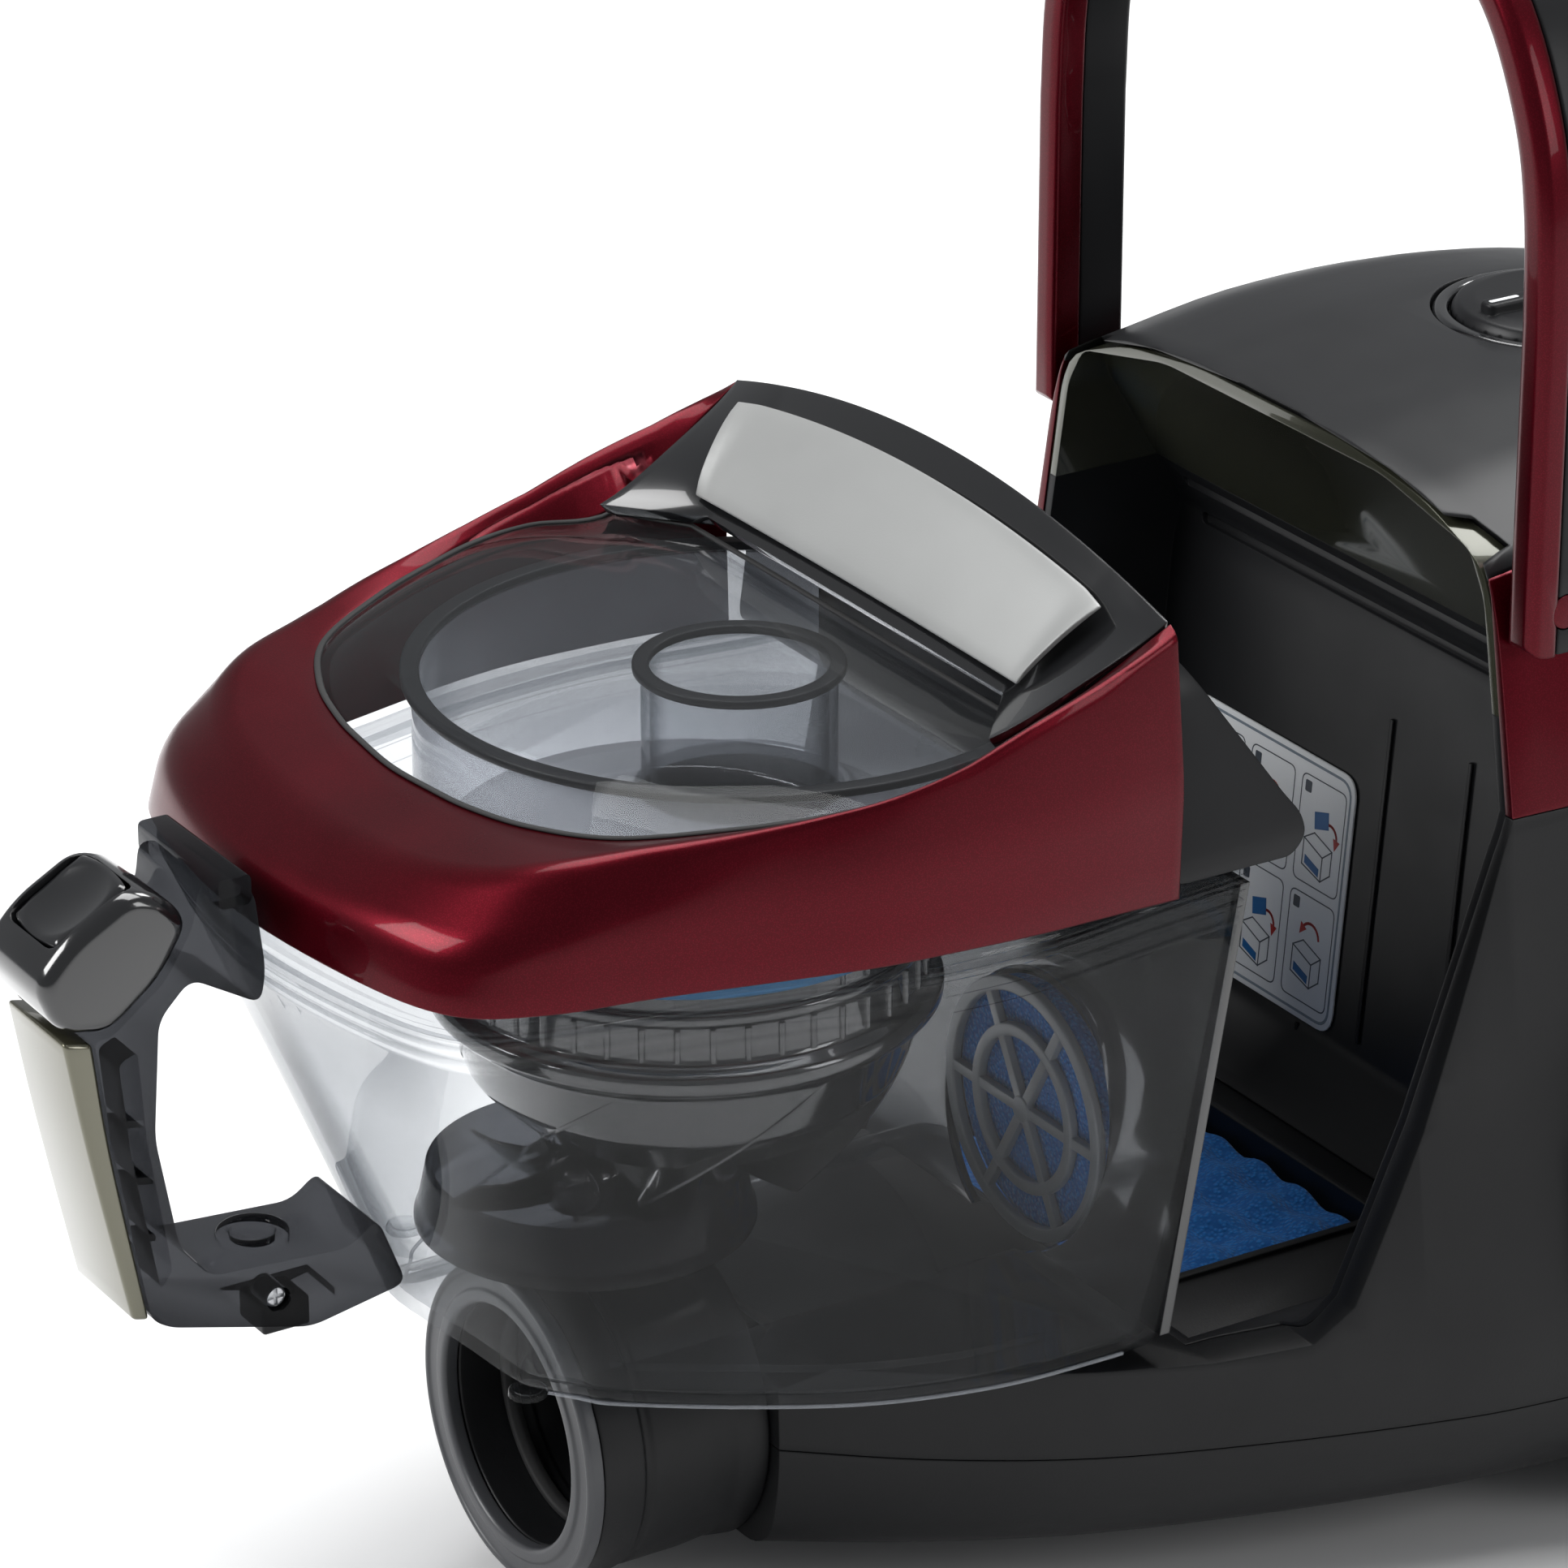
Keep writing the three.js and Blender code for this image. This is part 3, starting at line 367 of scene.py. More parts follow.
class Nodes:
    """Makes and links shader nodes for one material."""

    def __init__(self, name):
        self.name = name
        self.material = bpy.data.materials.new(name)
        self.material.use_nodes = True
        self.tree = self.material.node_tree
        self.tree.nodes.clear()
        self.place = self.add("TexCoord").outputs["Object"]

    def link(self, value, socket):
        """Joins another node's output to the socket, or sets its value."""
        if isinstance(value, bpy.types.NodeSocket):
            self.tree.links.new(value, socket)
        else:
            socket.default_value = value

    def add(self, kind, settings=(), **inputs):
        node = self.tree.nodes.new("ShaderNode" + kind)
        for key, value in dict(settings).items():
            setattr(node, key, value)
        for key, value in inputs.items():
            self.link(value, node.inputs[key.replace("_", " ")])
        return node

    def noise(self, scale, detail=3.0, roughness=0.5, place=None):
        node = self.add("TexNoise", Scale=scale, Detail=detail, Roughness=roughness,
            Vector=place or self.place)
        return node.outputs["Fac"]

    def ranged(self, value, low, high, start=0.0, end=1.0):
        node = self.add("MapRange", Value=value, From_Min=start, From_Max=end, To_Min=low, To_Max=high)
        return node.outputs["Result"]

    def colours(self, value, low, high):
        node = self.add("Mix", {"data_type": "RGBA"})
        self.link(value, node.inputs["Factor"])
        for socket, colour in ((node.inputs[6], low), (node.inputs[7], high)):
            plain = not isinstance(colour, bpy.types.NodeSocket)
            self.link((*colour, 1) if plain else colour, socket)
        return node.outputs[2]

    def maths(self, operation, a, b=0.0):
        node = self.add("Math", {"operation": operation})
        for socket, value in zip(node.inputs, (a, b)):
            self.link(value, socket)
        return node.outputs[0]

    def rim(self, radius):
        """The rounded normal, and how strongly a sharp edge turns there."""
        normal = self.add("Bevel", {"samples": 4}, Radius=radius).outputs[0]
        flat = self.add("NewGeometry").outputs["Normal"]
        dot = self.add("VectorMath", {"operation": "DOT_PRODUCT"})
        self.link(normal, dot.inputs[0])
        self.link(flat, dot.inputs[1])
        return normal, self.ranged(dot.outputs["Value"], 1.0, 0.0, 0.6, 0.94)

    def bump(self, height, depth, normal=None):
        node = self.add("Bump", Strength=1.0, Distance=depth, Height=height)
        if normal:
            self.link(normal, node.inputs["Normal"])
        return node.outputs["Normal"]

    def blend(self, amount, first, second):
        node = self.add("MixShader")
        for socket, value in zip(node.inputs, (amount, first.outputs[0], second.outputs[0])):
            self.link(value, socket)
        return node

    def finish(self, shader):
        self.add("OutputMaterial", Surface=shader.outputs[0])
        FINISH[self.name] = self.material


def moulded(name, dark, light, rough, grain=(1600, 2e-5), worn=0.25, **sockets):
    """Opaque moulded plastic: mottled colour, grain, smears and worn edges."""
    n = Nodes(name)
    normal, edge = n.rim(0.0005)
    cloud = n.noise(14, 4)
    colour = n.colours(cloud, dark, light)
    pale = [min(1, c * 2.2 + 0.03) for c in light]
    wear = n.maths("MULTIPLY", edge, n.ranged(n.noise(60, 4), 0, worn * 1.6))
    colour = n.colours(wear, colour, pale)
    smear = n.noise(34, 5, 0.62)
    roughness = n.ranged(smear, rough * 0.92, rough * 1.1, 0.3, 0.7)
    bumped = n.bump(n.noise(grain[0], 2), grain[1], normal)
    n.finish(n.add("BsdfPrincipled", Base_Color=colour, Roughness=roughness, Normal=bumped, **sockets))


def lacquer(name):
    """Metallic red under a clear coat, with fine flake and a painted pink highlight along sharp edges.
    """
    n = Nodes(name)
    normal, edge = n.rim(0.0006)
    flake = n.add("TexVoronoi", Scale=2600.0, Vector=n.place).outputs["Distance"]
    glint = n.ranged(flake, 1.0, 0.0, 0.0, 0.5)
    cloud = n.noise(9, 3)
    deep = n.colours(cloud, (0.066, 0.0004, 0.0040), (0.084, 0.0006, 0.0052))
    colour = n.colours(n.maths("MULTIPLY", glint, 0.3), deep, (0.25, 0.007, 0.023))
    # Pink along the sharp edges: a painted highlight.
    colour = n.colours(n.maths("MULTIPLY", edge, 0.5), colour, (0.5, 0.09, 0.12))
    roughness = n.ranged(n.noise(40, 5), 0.27, 0.37, 0.3, 0.7)
    bumped = n.bump(flake, 6e-6, normal)
    coat = n.bump(n.noise(120, 3), 4e-6, normal)
    n.finish(n.add("BsdfPrincipled", Base_Color=colour, Roughness=roughness, Metallic=0.75,
        Specular_IOR_Level=0.15, Coat_Weight=0.4, Coat_Roughness=0.03, Coat_IOR=1.3, Normal=bumped,
        Coat_Normal=coat))


def see_through(name, face, rim, haze, gloss=0.03, body=(0.6, 0.62, 0.64)):
    """Clear or tinted plastic that darkens where it is seen edge on."""
    n = Nodes(name)
    weight = n.add("LayerWeight", Blend=0.5).outputs["Facing"]
    sides = n.ranged(weight, 0.0, 1.0, 0.45, 1.0)
    cloud = n.noise(26, 4)
    tint = n.colours(sides, face, rim)
    tint = n.colours(n.ranged(cloud, 0, 0.08), tint, rim)
    clear = n.add("BsdfTransparent", Color=tint)
    rubbed = n.ranged(n.noise(70, 5), gloss * 0.6, gloss * 2, 0.3, 0.7)
    bumped = n.bump(n.noise(55, 3), 2.5e-5)
    shine = n.add("BsdfGlossy", Color=(1, 1, 1, 1), Roughness=rubbed, Normal=bumped)
    mirror = n.ranged(n.maths("POWER", weight, 5.5), 0.008, 0.72)
    solid = n.add("BsdfDiffuse", Color=(*body, 1), Roughness=0.4)
    dusty = n.blend(n.ranged(n.noise(28, 3), haze * 0.6, haze * 1.4), clear, solid)
    n.finish(n.blend(mirror, dusty, shine))


def foam_finish(name):
    n = Nodes(name)
    cells = n.add("TexVoronoi", {"feature": "SMOOTH_F1"}, Scale=900.0, Smoothness=0.4, Vector=n.place)
    pore = n.ranged(cells.outputs["Distance"], 0.0, 1.0, 0.08, 0.62)
    base = n.colours(n.noise(24, 4), (0.003, 0.15, 0.50), (0.006, 0.20, 0.60))
    # Darker in the pores: painted shade in the foam's hollows.
    colour = n.colours(n.ranged(pore, 0.0, 0.75), base, (0.002, 0.04, 0.2))
    colour = n.colours(n.ranged(n.noise(420, 2), 0, 0.2), colour, (0.03, 0.27, 0.62))
    height = n.maths("SUBTRACT", n.noise(260, 4), pore)
    n.finish(n.add("BsdfPrincipled", Base_Color=colour, Roughness=n.ranged(pore, 0.82, 0.98),
        Sheen_Weight=0.12, Sheen_Roughness=0.5, Normal=n.bump(height, 4e-4)))


def felt_finish(name):
    n = Nodes(name)
    stretch = n.add("Mapping", Scale=(1.0, 3.5, 1.6), Vector=n.place)
    fibre = n.noise(520, 6, 0.7, stretch.outputs[0])
    colour = n.colours(fibre, (0.42, 0.42, 0.40), (0.78, 0.78, 0.75))
    n.finish(n.add("BsdfPrincipled", Base_Color=colour, Roughness=n.ranged(fibre, 0.85, 1.0),
        Normal=n.bump(fibre, 3e-4)))


def brushed(name, dark, light, rough):
    n = Nodes(name)
    normal, edge = n.rim(0.0004)
    pull = n.add("Mapping", Scale=(1.0, 40.0, 40.0), Vector=n.place)
    lines = n.noise(60, 5, 0.6, pull.outputs[0])
    colour = n.colours(lines, dark, light)
    colour = n.colours(n.maths("MULTIPLY", edge, 0.4), colour, (0.86, 0.86, 0.87))
    n.finish(n.add("BsdfPrincipled", Base_Color=colour, Metallic=0.9,
        Roughness=n.ranged(lines, rough * 0.8, rough * 1.25), Normal=n.bump(lines, 1.2e-5, normal)))


def board_finish(name):
    """Solder resist over a grid of copper tracks."""
    n = Nodes(name)
    cells = n.add("TexVoronoi", {"distance": "MANHATTAN"}, Scale=170.0, Vector=n.place)
    track = n.ranged(cells.outputs["Distance"], 0.0, 1.0, 0.42, 0.46)
    colour = n.colours(track, (0.008, 0.09, 0.03), (0.03, 0.2, 0.07))
    n.finish(n.add("BsdfPrincipled", Base_Color=colour, Roughness=n.ranged(track, 0.35, 0.5),
        Coat_Weight=0.5, Normal=n.bump(track, 4e-5)))


FINE = (700, 2e-6)
PRINT = (900, 6e-6)
moulded("shell_black", (0.0046, 0.0048, 0.0055), (0.0068, 0.0071, 0.0079), 0.44, (1500, 3e-5),
    Specular_IOR_Level=0.3)
moulded("gloss_black", (0.0065, 0.0067, 0.0075), (0.009, 0.0093, 0.0103), 0.16, FINE, 0.12,
    Coat_Weight=1.0, Coat_Roughness=0.03)
moulded("satin_black", (0.0085, 0.0088, 0.0098), (0.0125, 0.0128, 0.014), 0.36, (1200, 1.2e-5),
    Specular_IOR_Level=0.22)
# The dock band's pale green-grey metallic colour is a painted reflection on glossy black plastic.
moulded("band_painted_reflection", (0.050, 0.052, 0.034), (0.062, 0.064, 0.044), 0.2, FINE, 0.12, Metallic=0.5,
    Coat_Weight=1.0, Coat_Roughness=0.04)
moulded("panel_grey", (0.0115, 0.012, 0.0132), (0.0145, 0.015, 0.0162), 0.34, (1200, 6e-6), 0.12,
    Specular_IOR_Level=0.4)
moulded("champagne", (0.105, 0.10, 0.066), (0.13, 0.125, 0.083), 0.2, FINE, 0.1, Metallic=0.65,
    Coat_Weight=1.0, Coat_Roughness=0.05)
moulded("silver_plate", (0.33, 0.335, 0.33), (0.37, 0.375, 0.37), 0.42, (2200, 1.5e-5), 0.1,
    Metallic=0.35)
moulded("rubber", (0.009, 0.009, 0.0095), (0.016, 0.016, 0.0165), 0.72, (900, 6e-5), 0.35)
moulded("pale_grey", (0.15, 0.156, 0.168), (0.18, 0.187, 0.2), 0.36, (1500, 2e-5))
moulded("grey_plastic", (0.052, 0.054, 0.059), (0.068, 0.070, 0.076), 0.36, (1500, 2e-5))
moulded("blue_plastic", (0.006, 0.10, 0.24), (0.01, 0.14, 0.30), 0.3, PRINT, 0.1)
moulded("label_blue", (0.006, 0.10, 0.30), (0.01, 0.13, 0.36), 0.4, PRINT, 0.0)
moulded("label_red", (0.42, 0.015, 0.012), (0.5, 0.02, 0.016), 0.4, PRINT, 0.0)
moulded("label_ink", (0.045, 0.055, 0.075), (0.065, 0.08, 0.10), 0.4, PRINT, 0.0)
moulded("label_edge", (0.20, 0.25, 0.30), (0.25, 0.30, 0.35), 0.4, PRINT, 0.0)
moulded("label", (0.80, 0.82, 0.835), (0.86, 0.88, 0.89), 0.32, (500, 8e-6), 0.0)
lacquer("metallic_red")
see_through("clear_plastic", (0.965, 0.97, 0.975), (0.28, 0.30, 0.325), 0.007)
see_through("window_clear", (0.95, 0.955, 0.962), (0.32, 0.34, 0.36), 0.008)
see_through("frosted_clear", (0.94, 0.945, 0.955), (0.34, 0.36, 0.39), 0.24, 0.05, (0.72, 0.745, 0.79))
see_through("smoke_plastic", (0.33, 0.34, 0.36), (0.05, 0.052, 0.06), 0.06, 0.04, (0.1, 0.1, 0.11))
see_through("handle_smoke", (0.25, 0.256, 0.27), (0.025, 0.026, 0.03), 0.12, 0.05, (0.03, 0.031, 0.035))
foam_finish("foam")
felt_finish("felt")
brushed("metal", (0.36, 0.37, 0.385), (0.62, 0.63, 0.65), 0.3)
board_finish("board")


# ---- body
WALL = 3
SEAM_Z = 44
TRIM_Z = 187
RIM_Y = 11.5
CAVITY_HALF = 93.5
CAVITY_FLOOR = 62
LINER = 2.5
TOP_HALF = 85.5
WALL_BEND = 78
WHEEL_Y, WHEEL_R, WELL_IN = 105, 75, 96
CASTER_Y, CASTER_TRAIL, CASTER_R = -84, 7, 11
INLET_Z, INLET_R, COLLAR_R, COLLAR_FRONT_Y = 45, 29.4, 39, -199
KNOB_Y = 96
REWIND = (45, 140, 11)
PIVOT_Y, PIVOT_Z = 23, 236
BIN_AXIS_Y = -140

# y, half widths at the seam, the trim's lower edge and the top, and the crown.
STATIONS = curve([(-150, 42, 38, 34, 262), (-123, 64, 56, 50, 262), (-90, 84, 74, 68, 262),
    (-50, 100, 90, 82, 262), (-15, 111, 97, 87.5, 260), (11.5, 117, 99, 88, 259),
    (55, 121, 100.5, 88.5, 265), (100, 121, 100.5, 88.5, 265), (143, 117, 98, 87, 258),
    (165, 110, 93, 83, 245), (180, 100, 84, 75, 224), (188, 90, 74, 66, 200)], 5)


def body_ring(station, inset, dy):
    y, seam, trim, top, crown = station

    def lift(z):
        return SEAM_Z + (z - SEAM_Z) * (crown - SEAM_Z) / (262 - SEAM_Z)

    floor = 14 + inset
    side = [(0.72 * seam, floor), (0.9 * seam, floor + 5), (0.98 * seam, floor + 17), (seam, SEAM_Z),
        (seam - 1, lift(62)), ((seam * 2 + trim * 3) / 5, lift(120)), (trim, lift(TRIM_Z)),
        (top + 2.5, lift(232)), (top - 3, lift(248)), (0.7 * top, lift(257)), (0.35 * top, lift(261))]
    right = [(x - inset, y + dy, z - (inset if z > SEAM_Z + 30 else 0)) for x, z in side]
    return rounded(right + mirrored(right), 7, 3)


def body_form(inset):
    """The whole outer body, or the same form a wall's thickness inside it."""
    rings = [body_ring(s, inset, 0) for s in STATIONS]
    rings[0] = body_ring(STATIONS[0], inset, inset)
    rings[-1] = body_ring(STATIONS[-1], inset, -inset)
    return loft(rings)


def open_front(grow):
    """What is cut away before the dock and above the nose."""
    return prism("x", [(-400, 400), (RIM_Y + grow, 400), (RIM_Y + grow, TRIM_Z), (8 + grow, 178),
        (-14 + grow, 116), (-32 + grow, 76 - grow), (-42, 68 - grow), (-64, 66 - grow),
        (-140, 66 - grow), (-149, 60 - grow), (-400, 56 - grow)], -200, 200)


def wall_y(z):
    """The dock's rear wall leans back as it rises."""
    return 42 + (z - WALL_BEND) * 10 / 117


def cavity(g):
    """The dock's hollow, grown by g."""
    outline = [(-62 - g, 400), (-62 - g, CAVITY_FLOOR - g), (28 + g, CAVITY_FLOOR - g),
        (wall_y(WALL_BEND) + g, WALL_BEND), (wall_y(195) + g, 195 + 0.4 * g), (2 + g, 267.6 + 0.4 * g),
        (2 + g, 400)]
    half = [(78 + g, 20), (78 + g, 65.5), (CAVITY_HALF + g, 69.5), (CAVITY_HALF + g, 184),
        (84 + g, 236 + g), (78 + g, 246 + g), (45 + g, 253 + g), (0, 256 + g)]
    arch = rounded(half + mirrored(half[:-1]), 3, 3)
    return overlap(prism("x", rounded(outline, 3, 3), -200, 200), prism("y", arch, -80, 80))


def wheel_wells(grow):
    return [rod("x", WHEEL_R + 4 + grow, WELL_IN - grow, 200, WHEEL_Y, WHEEL_R, 96),
        rod("x", WHEEL_R + 4 + grow, -200, grow - WELL_IN, WHEEL_Y, WHEEL_R, 96)]


def caster_well(grow):
    return rod("z", 23 + grow, -5, 29 + grow, 0, CASTER_Y)


def above(z):
    return box(-200, 200, -200, 300, z, 400)


def below(z):
    return box(-200, 200, -200, 300, -50, z)


def trim_zone(g, side):
    x = sorted((side * (TOP_HALF - g), side * 200))
    return box(*x, RIM_Y - 5, 178 + g, TRIM_Z - g, 400)


def top_zone(g):
    return box(-TOP_HALF - g, TOP_HALF + g, RIM_Y - 5, 178 + g, 236 - g, 400)


skin = cut(body_form(0), open_front(0), cavity(LINER + GAP), *wheel_wells(0), caster_well(0))
skin = cut(skin, cut(body_form(WALL), open_front(WALL), *wheel_wells(WALL), caster_well(2)))

inlet_hole = rod("y", 30.6, -160, -140, 0, INLET_Z)
base = overlap(copied(skin), below(SEAM_Z - GAP / 2))
base = cut(base, copied(inlet_hole), rod("z", 5.3, 20, 40, 0, CASTER_Y))
form(softened(largest(base), 0.7, 2), "base_shell", "root", "shell_black")

upper = overlap(copied(skin), above(SEAM_Z + GAP / 2))
upper = cut(upper, trim_zone(GAP, 1), trim_zone(GAP, -1), top_zone(GAP), inlet_hole,
    prism("y", oblong(-46, 46, 92, 146, 5), 170, 200),
    rod("y", 9.3, 170, 200, 62, 78), rod("x", 5.3, -130, 130, WHEEL_Y, WHEEL_R))
form(softened(largest(upper), 0.7, 2), "body_shell", "root", "shell_black")

for name, side in (("left", -1), ("right", 1)):
    trim = overlap(copied(skin), trim_zone(0, side))
    trim = largest(cut(trim, top_zone(GAP)))
    trim = join(trim, rod("x", 4, *sorted((side * 88.4, side * 100)), PIVOT_Y, PIVOT_Z))
    form(softened(trim, 0.8, 3), f"side_trim_{name}", "root", "metallic_red")

top = cut(overlap(skin, top_zone(0)), rod("z", 30.5, 255, 300, 0, KNOB_Y, 96),
    rod("z", REWIND[2] + 0.6, 200, 300, *REWIND[:2]))
form(softened(largest(top), 0.6, 3), "top_panel", "root", "gloss_black", finish="panel_grey")

# ---- dock
liner = overlap(cavity(LINER), body_form(1.5))
liner = cut(liner, cavity(0), open_front(0.3), box(-200, 200, -200, 200, 0, CAVITY_FLOOR + GAP))
# Two grooves across the upper wall.
for z in (204, 193):
    y = 52 - (z - 195) * 0.69
    groove = oblong(-82, 82, z - 1.6, z + 1.6, 1.5)
    liner = cut(liner, prism("y", groove, y - 3, min(52, y) + 1.2))
liner = softened(largest(liner), 0.5, 3)
# Above BAND_Z the wall's pale green-grey colour is a painted reflection on polished black.
BAND_Z = 209.5  # above it the wall is polished
band = overlap(copied(liner), above(BAND_Z))
piece(band, "dock_liner_band", "root", "gloss_black", finish="band_painted_reflection")
liner = overlap(liner, below(BAND_Z - 0.05))
form(liner, "dock_liner", "root", "shell_black", finish="satin_black")

# Filter tray with a rolled rim, sunk in the dock's floor.
plate = overlap(box(-CAVITY_HALF - 2, CAVITY_HALF + 2, -62, 28, CAVITY_FLOOR - 2.5, CAVITY_FLOOR),
    overlap(cavity(LINER - 0.3), body_form(4)))
tray = join(plate, prism("z", oblong(-50.5, 50.5, -61, 18.5, 6), 47, CAVITY_FLOOR + 1.4))
tray = largest(cut(tray, prism("z", oblong(-48, 48, -58.5, 16, 4), 49.5, 80)))
form(softened(tray, 0.6, 3), "dock_floor", "root", "shell_black")


def foam_block():
    """Waves across the block, with small uneven dips."""
    half, front, back = 46, -56.5, 13.9
    tops = []
    for y in np.linspace(front, back, 96):
        for x in np.linspace(-half, half, 70):
            wave = 1.1 * math.sin(2 * math.pi * (y + 2) / 14.08 + 0.5 * math.sin(x * 0.12))
            wave += 0.9 * math.sin(2 * math.pi * x / 17 + 0.6 * math.sin(y * 0.2))
            edge = min(x + half, half - x, y - front, back - y)
            drop = 1.6 * math.exp(-max(edge, 0) / 1.2)
            tops.append((x, y, 58.6 + wave - drop + random.uniform(-0.05, 0.05)))
    return slab(tops, 70, 52.9)


foam = form(foam_block(), "foam_filter", "root", "foam", angle=70)

# ---- label
LABEL = (-77, -8, 81, 149)
DRAWN = (0.8, 0.05)  # a line's distance from the wall and its thickness
FILLED = (0.8, 0.06)
CELL_W, CELL_H, PITCH_X, PITCH_Z = 18.6, 28, 21.4, 30.5


def on_wall(outline, lift, thick):
    """A thin plate on the dock's rear wall from an (x, z) outline."""
    near = [(x, wall_y(z) - lift - thick, z) for x, z in outline]
    far = [(x, wall_y(z) - lift, z) for x, z in outline]
    return loft([near, far])


def wall_ring(x0, x1, z0, z1, r, width, lift, thick):
    """A drawn rectangle with round corners."""
    outer = oblong(x0, x1, z0, z1, r, 6)
    inner = oblong(x0 + width, x1 - width, z0 + width, z1 - width, r - width * 0.8, 6)
    rings = []
    for (a, b), (c, d) in zip(outer, inner):
        rings.append([(a, wall_y(b) - lift, b), (a, wall_y(b) - lift - thick, b),
            (c, wall_y(d) - lift - thick, d), (c, wall_y(d) - lift, d)])
    return loft(rings, loop=True)


sticker = on_wall(oblong(*LABEL, 6, 6), 0.2, 0.6)
form(softened(sticker, 0.15, 2), "dock_label", "root", "label")
frame_line = wall_ring(-75.6, -9.4, 82.4, 147.6, 5, 0.7, *DRAWN)
piece(frame_line, "dock_label_border", "root", "label", finish="label_edge")


def stroke(points, width, lift=DRAWN[0], thick=DRAWN[1]):
    """A fine drawn line on the wall through (x, z) points."""
    parts = []
    for (a, b), (c, d) in zip(points, points[1:]):
        size = math.hypot(c - a, d - b) or 1
        u, v = (c - a) / size * width / 2, (d - b) / size * width / 2
        outline = [(a - u + v, b - v - u), (c + u + v, d + v - u), (c + u - v, d + v + u),
            (a - u - v, b - v + u)]
        parts.append(on_wall(outline, lift, thick))
    return parts


def crate(x, z, w, d):
    """A small open box drawn in outline, with a slab in it."""
    front = [(x, z), (x + w, z - d * 0.3), (x + w, z + d * 0.6), (x, z + d), (x, z)]
    top = [(x, z + d), (x + w * 0.5, z + d * 1.35), (x + w * 1.45, z + d), (x + w, z + d * 0.6)]
    side = [(x + w * 1.45, z + d), (x + w * 1.45, z + d * 0.1), (x + w, z - d * 0.3)]
    block = [(x + 1, z + 0.6), (x + w - 1, z - d * 0.3 + 0.8), (x + w - 1, z + d * 0.12),
        (x + 1, z + d * 0.4)]
    return stroke(front, 0.35) + stroke(top, 0.35) + stroke(side, 0.35), on_wall(block, *FILLED)


def hooked(x, z, r, start, end):
    """A curved arrow."""
    turn = [math.radians(start + (end - start) * i / 10) for i in range(11)]
    arc = [(x + r * math.cos(a), z + r * math.sin(a)) for a in turn]
    (a, b), last = arc[-1], turn[-1] + math.pi / 2 * (1 if end > start else -1)
    tip = [(a + 2.4 * math.cos(last), b + 2.4 * math.sin(last))]
    tip += [(a + 1.5 * math.cos(last + k), b + 1.5 * math.sin(last + k)) for k in (2.0, -2.0)]
    return stroke(arc, 0.7) + [on_wall(tip if end > start else tip[:1] + tip[:0:-1], *FILLED)]


# Generic drawings in six cells: boxes, slabs and arrows, with no text.
INK, BLUE, RED = [], [], []
for row in range(2):
    for col in range(3):
        x0, z0 = -72.5 + col * PITCH_X, 116 - row * PITCH_Z
        INK.append(wall_ring(x0, x0 + CELL_W, z0, z0 + CELL_H, 2.4, 0.3, *DRAWN))
        INK.append(on_wall(oblong(x0 + 1.6, x0 + 4.2, z0 + 23.4, z0 + 26.4, 0.5, 6), *DRAWN))
        lines, block = crate(x0 + 3.2, z0 + 4.6 + 2 * ((row + col) % 2), 8, 7)
        INK += lines
        BLUE.append(block)
        if (row + col) % 2:
            RED += hooked(x0 + 9.6, z0 + 17.5, 3.6, 10, 150)
        else:
            lean = [(x0 + 7, z0 + 15), (x0 + 12.6, z0 + 16.6), (x0 + 12, z0 + 21),
                (x0 + 6.4, z0 + 19.4)]
            BLUE.append(on_wall(lean, *FILLED))
            RED += hooked(x0 + 13, z0 + 15, 3, 120, -10)
piece(gathered(INK), "dock_label_drawings", "root", "label", finish="label_ink")
piece(gathered(BLUE), "dock_label_slabs", "root", "label", finish="label_blue")
piece(gathered(RED), "dock_label_arrows", "root", "label", finish="label_red")

# Thin upright lines on the dock's rear wall.
wall_lines = []
for x, low, high in ((2.5, 84, 168), (-22, 66, 79), (34, 84, 168), (-54, 66, 79), (66, 84, 168)):
    wall_lines += stroke([(x, low), (x, high)], 1.1, 0.02, 0.7)
piece(gathered(wall_lines), "dock_wall_lines", "root", "shell_black", finish="satin_black")

# ---- inlet
F = COLLAR_FRONT_Y
bezel = lathe("y", [(INLET_R, F + 4), (INLET_R, F + 0.8), (INLET_R + 0.8, F), (INLET_R + 3.2, F),
    (INLET_R + 3.8, F + 0.7), (COLLAR_R - 2.4, F + 0.7), (COLLAR_R - 1.8, F), (COLLAR_R - 0.9, F),
    (COLLAR_R, F + 1), (COLLAR_R, F + 4)], (0, 0, INLET_Z), 128, 0.5)
form(bezel, "inlet_ring", "root", "grey_plastic")
neck = lathe("y", [(INLET_R, F + 4.3), (COLLAR_R - 0.4, F + 4.3), (COLLAR_R - 0.5, -184),
    (COLLAR_R - 1.3, -183.2), (COLLAR_R - 1.3, -181.6), (COLLAR_R - 0.9, -180.8), (38, -166),
    (37.4, -158), (38.5, -150.3), (INLET_R, -150.3), (INLET_R, -176), (INLET_R - 0.6, -177),
    (INLET_R - 0.6, -179), (INLET_R, -180)], (0, 0, INLET_Z), 128, 0.7)
neck = softened(overlap(neck, box(-60, 60, -220, -140, 5, 100)), 0.3, 2)
form(neck, "inlet_neck", "root", "shell_black")
seal = lathe("y", [(29.1, -184), (27.4, -184), (26.9, -182), (27.4, -180), (29.1, -180)],
    (0, 0, INLET_Z), 96, 0.6)
form(seal, "inlet_seal", "root", "rubber")

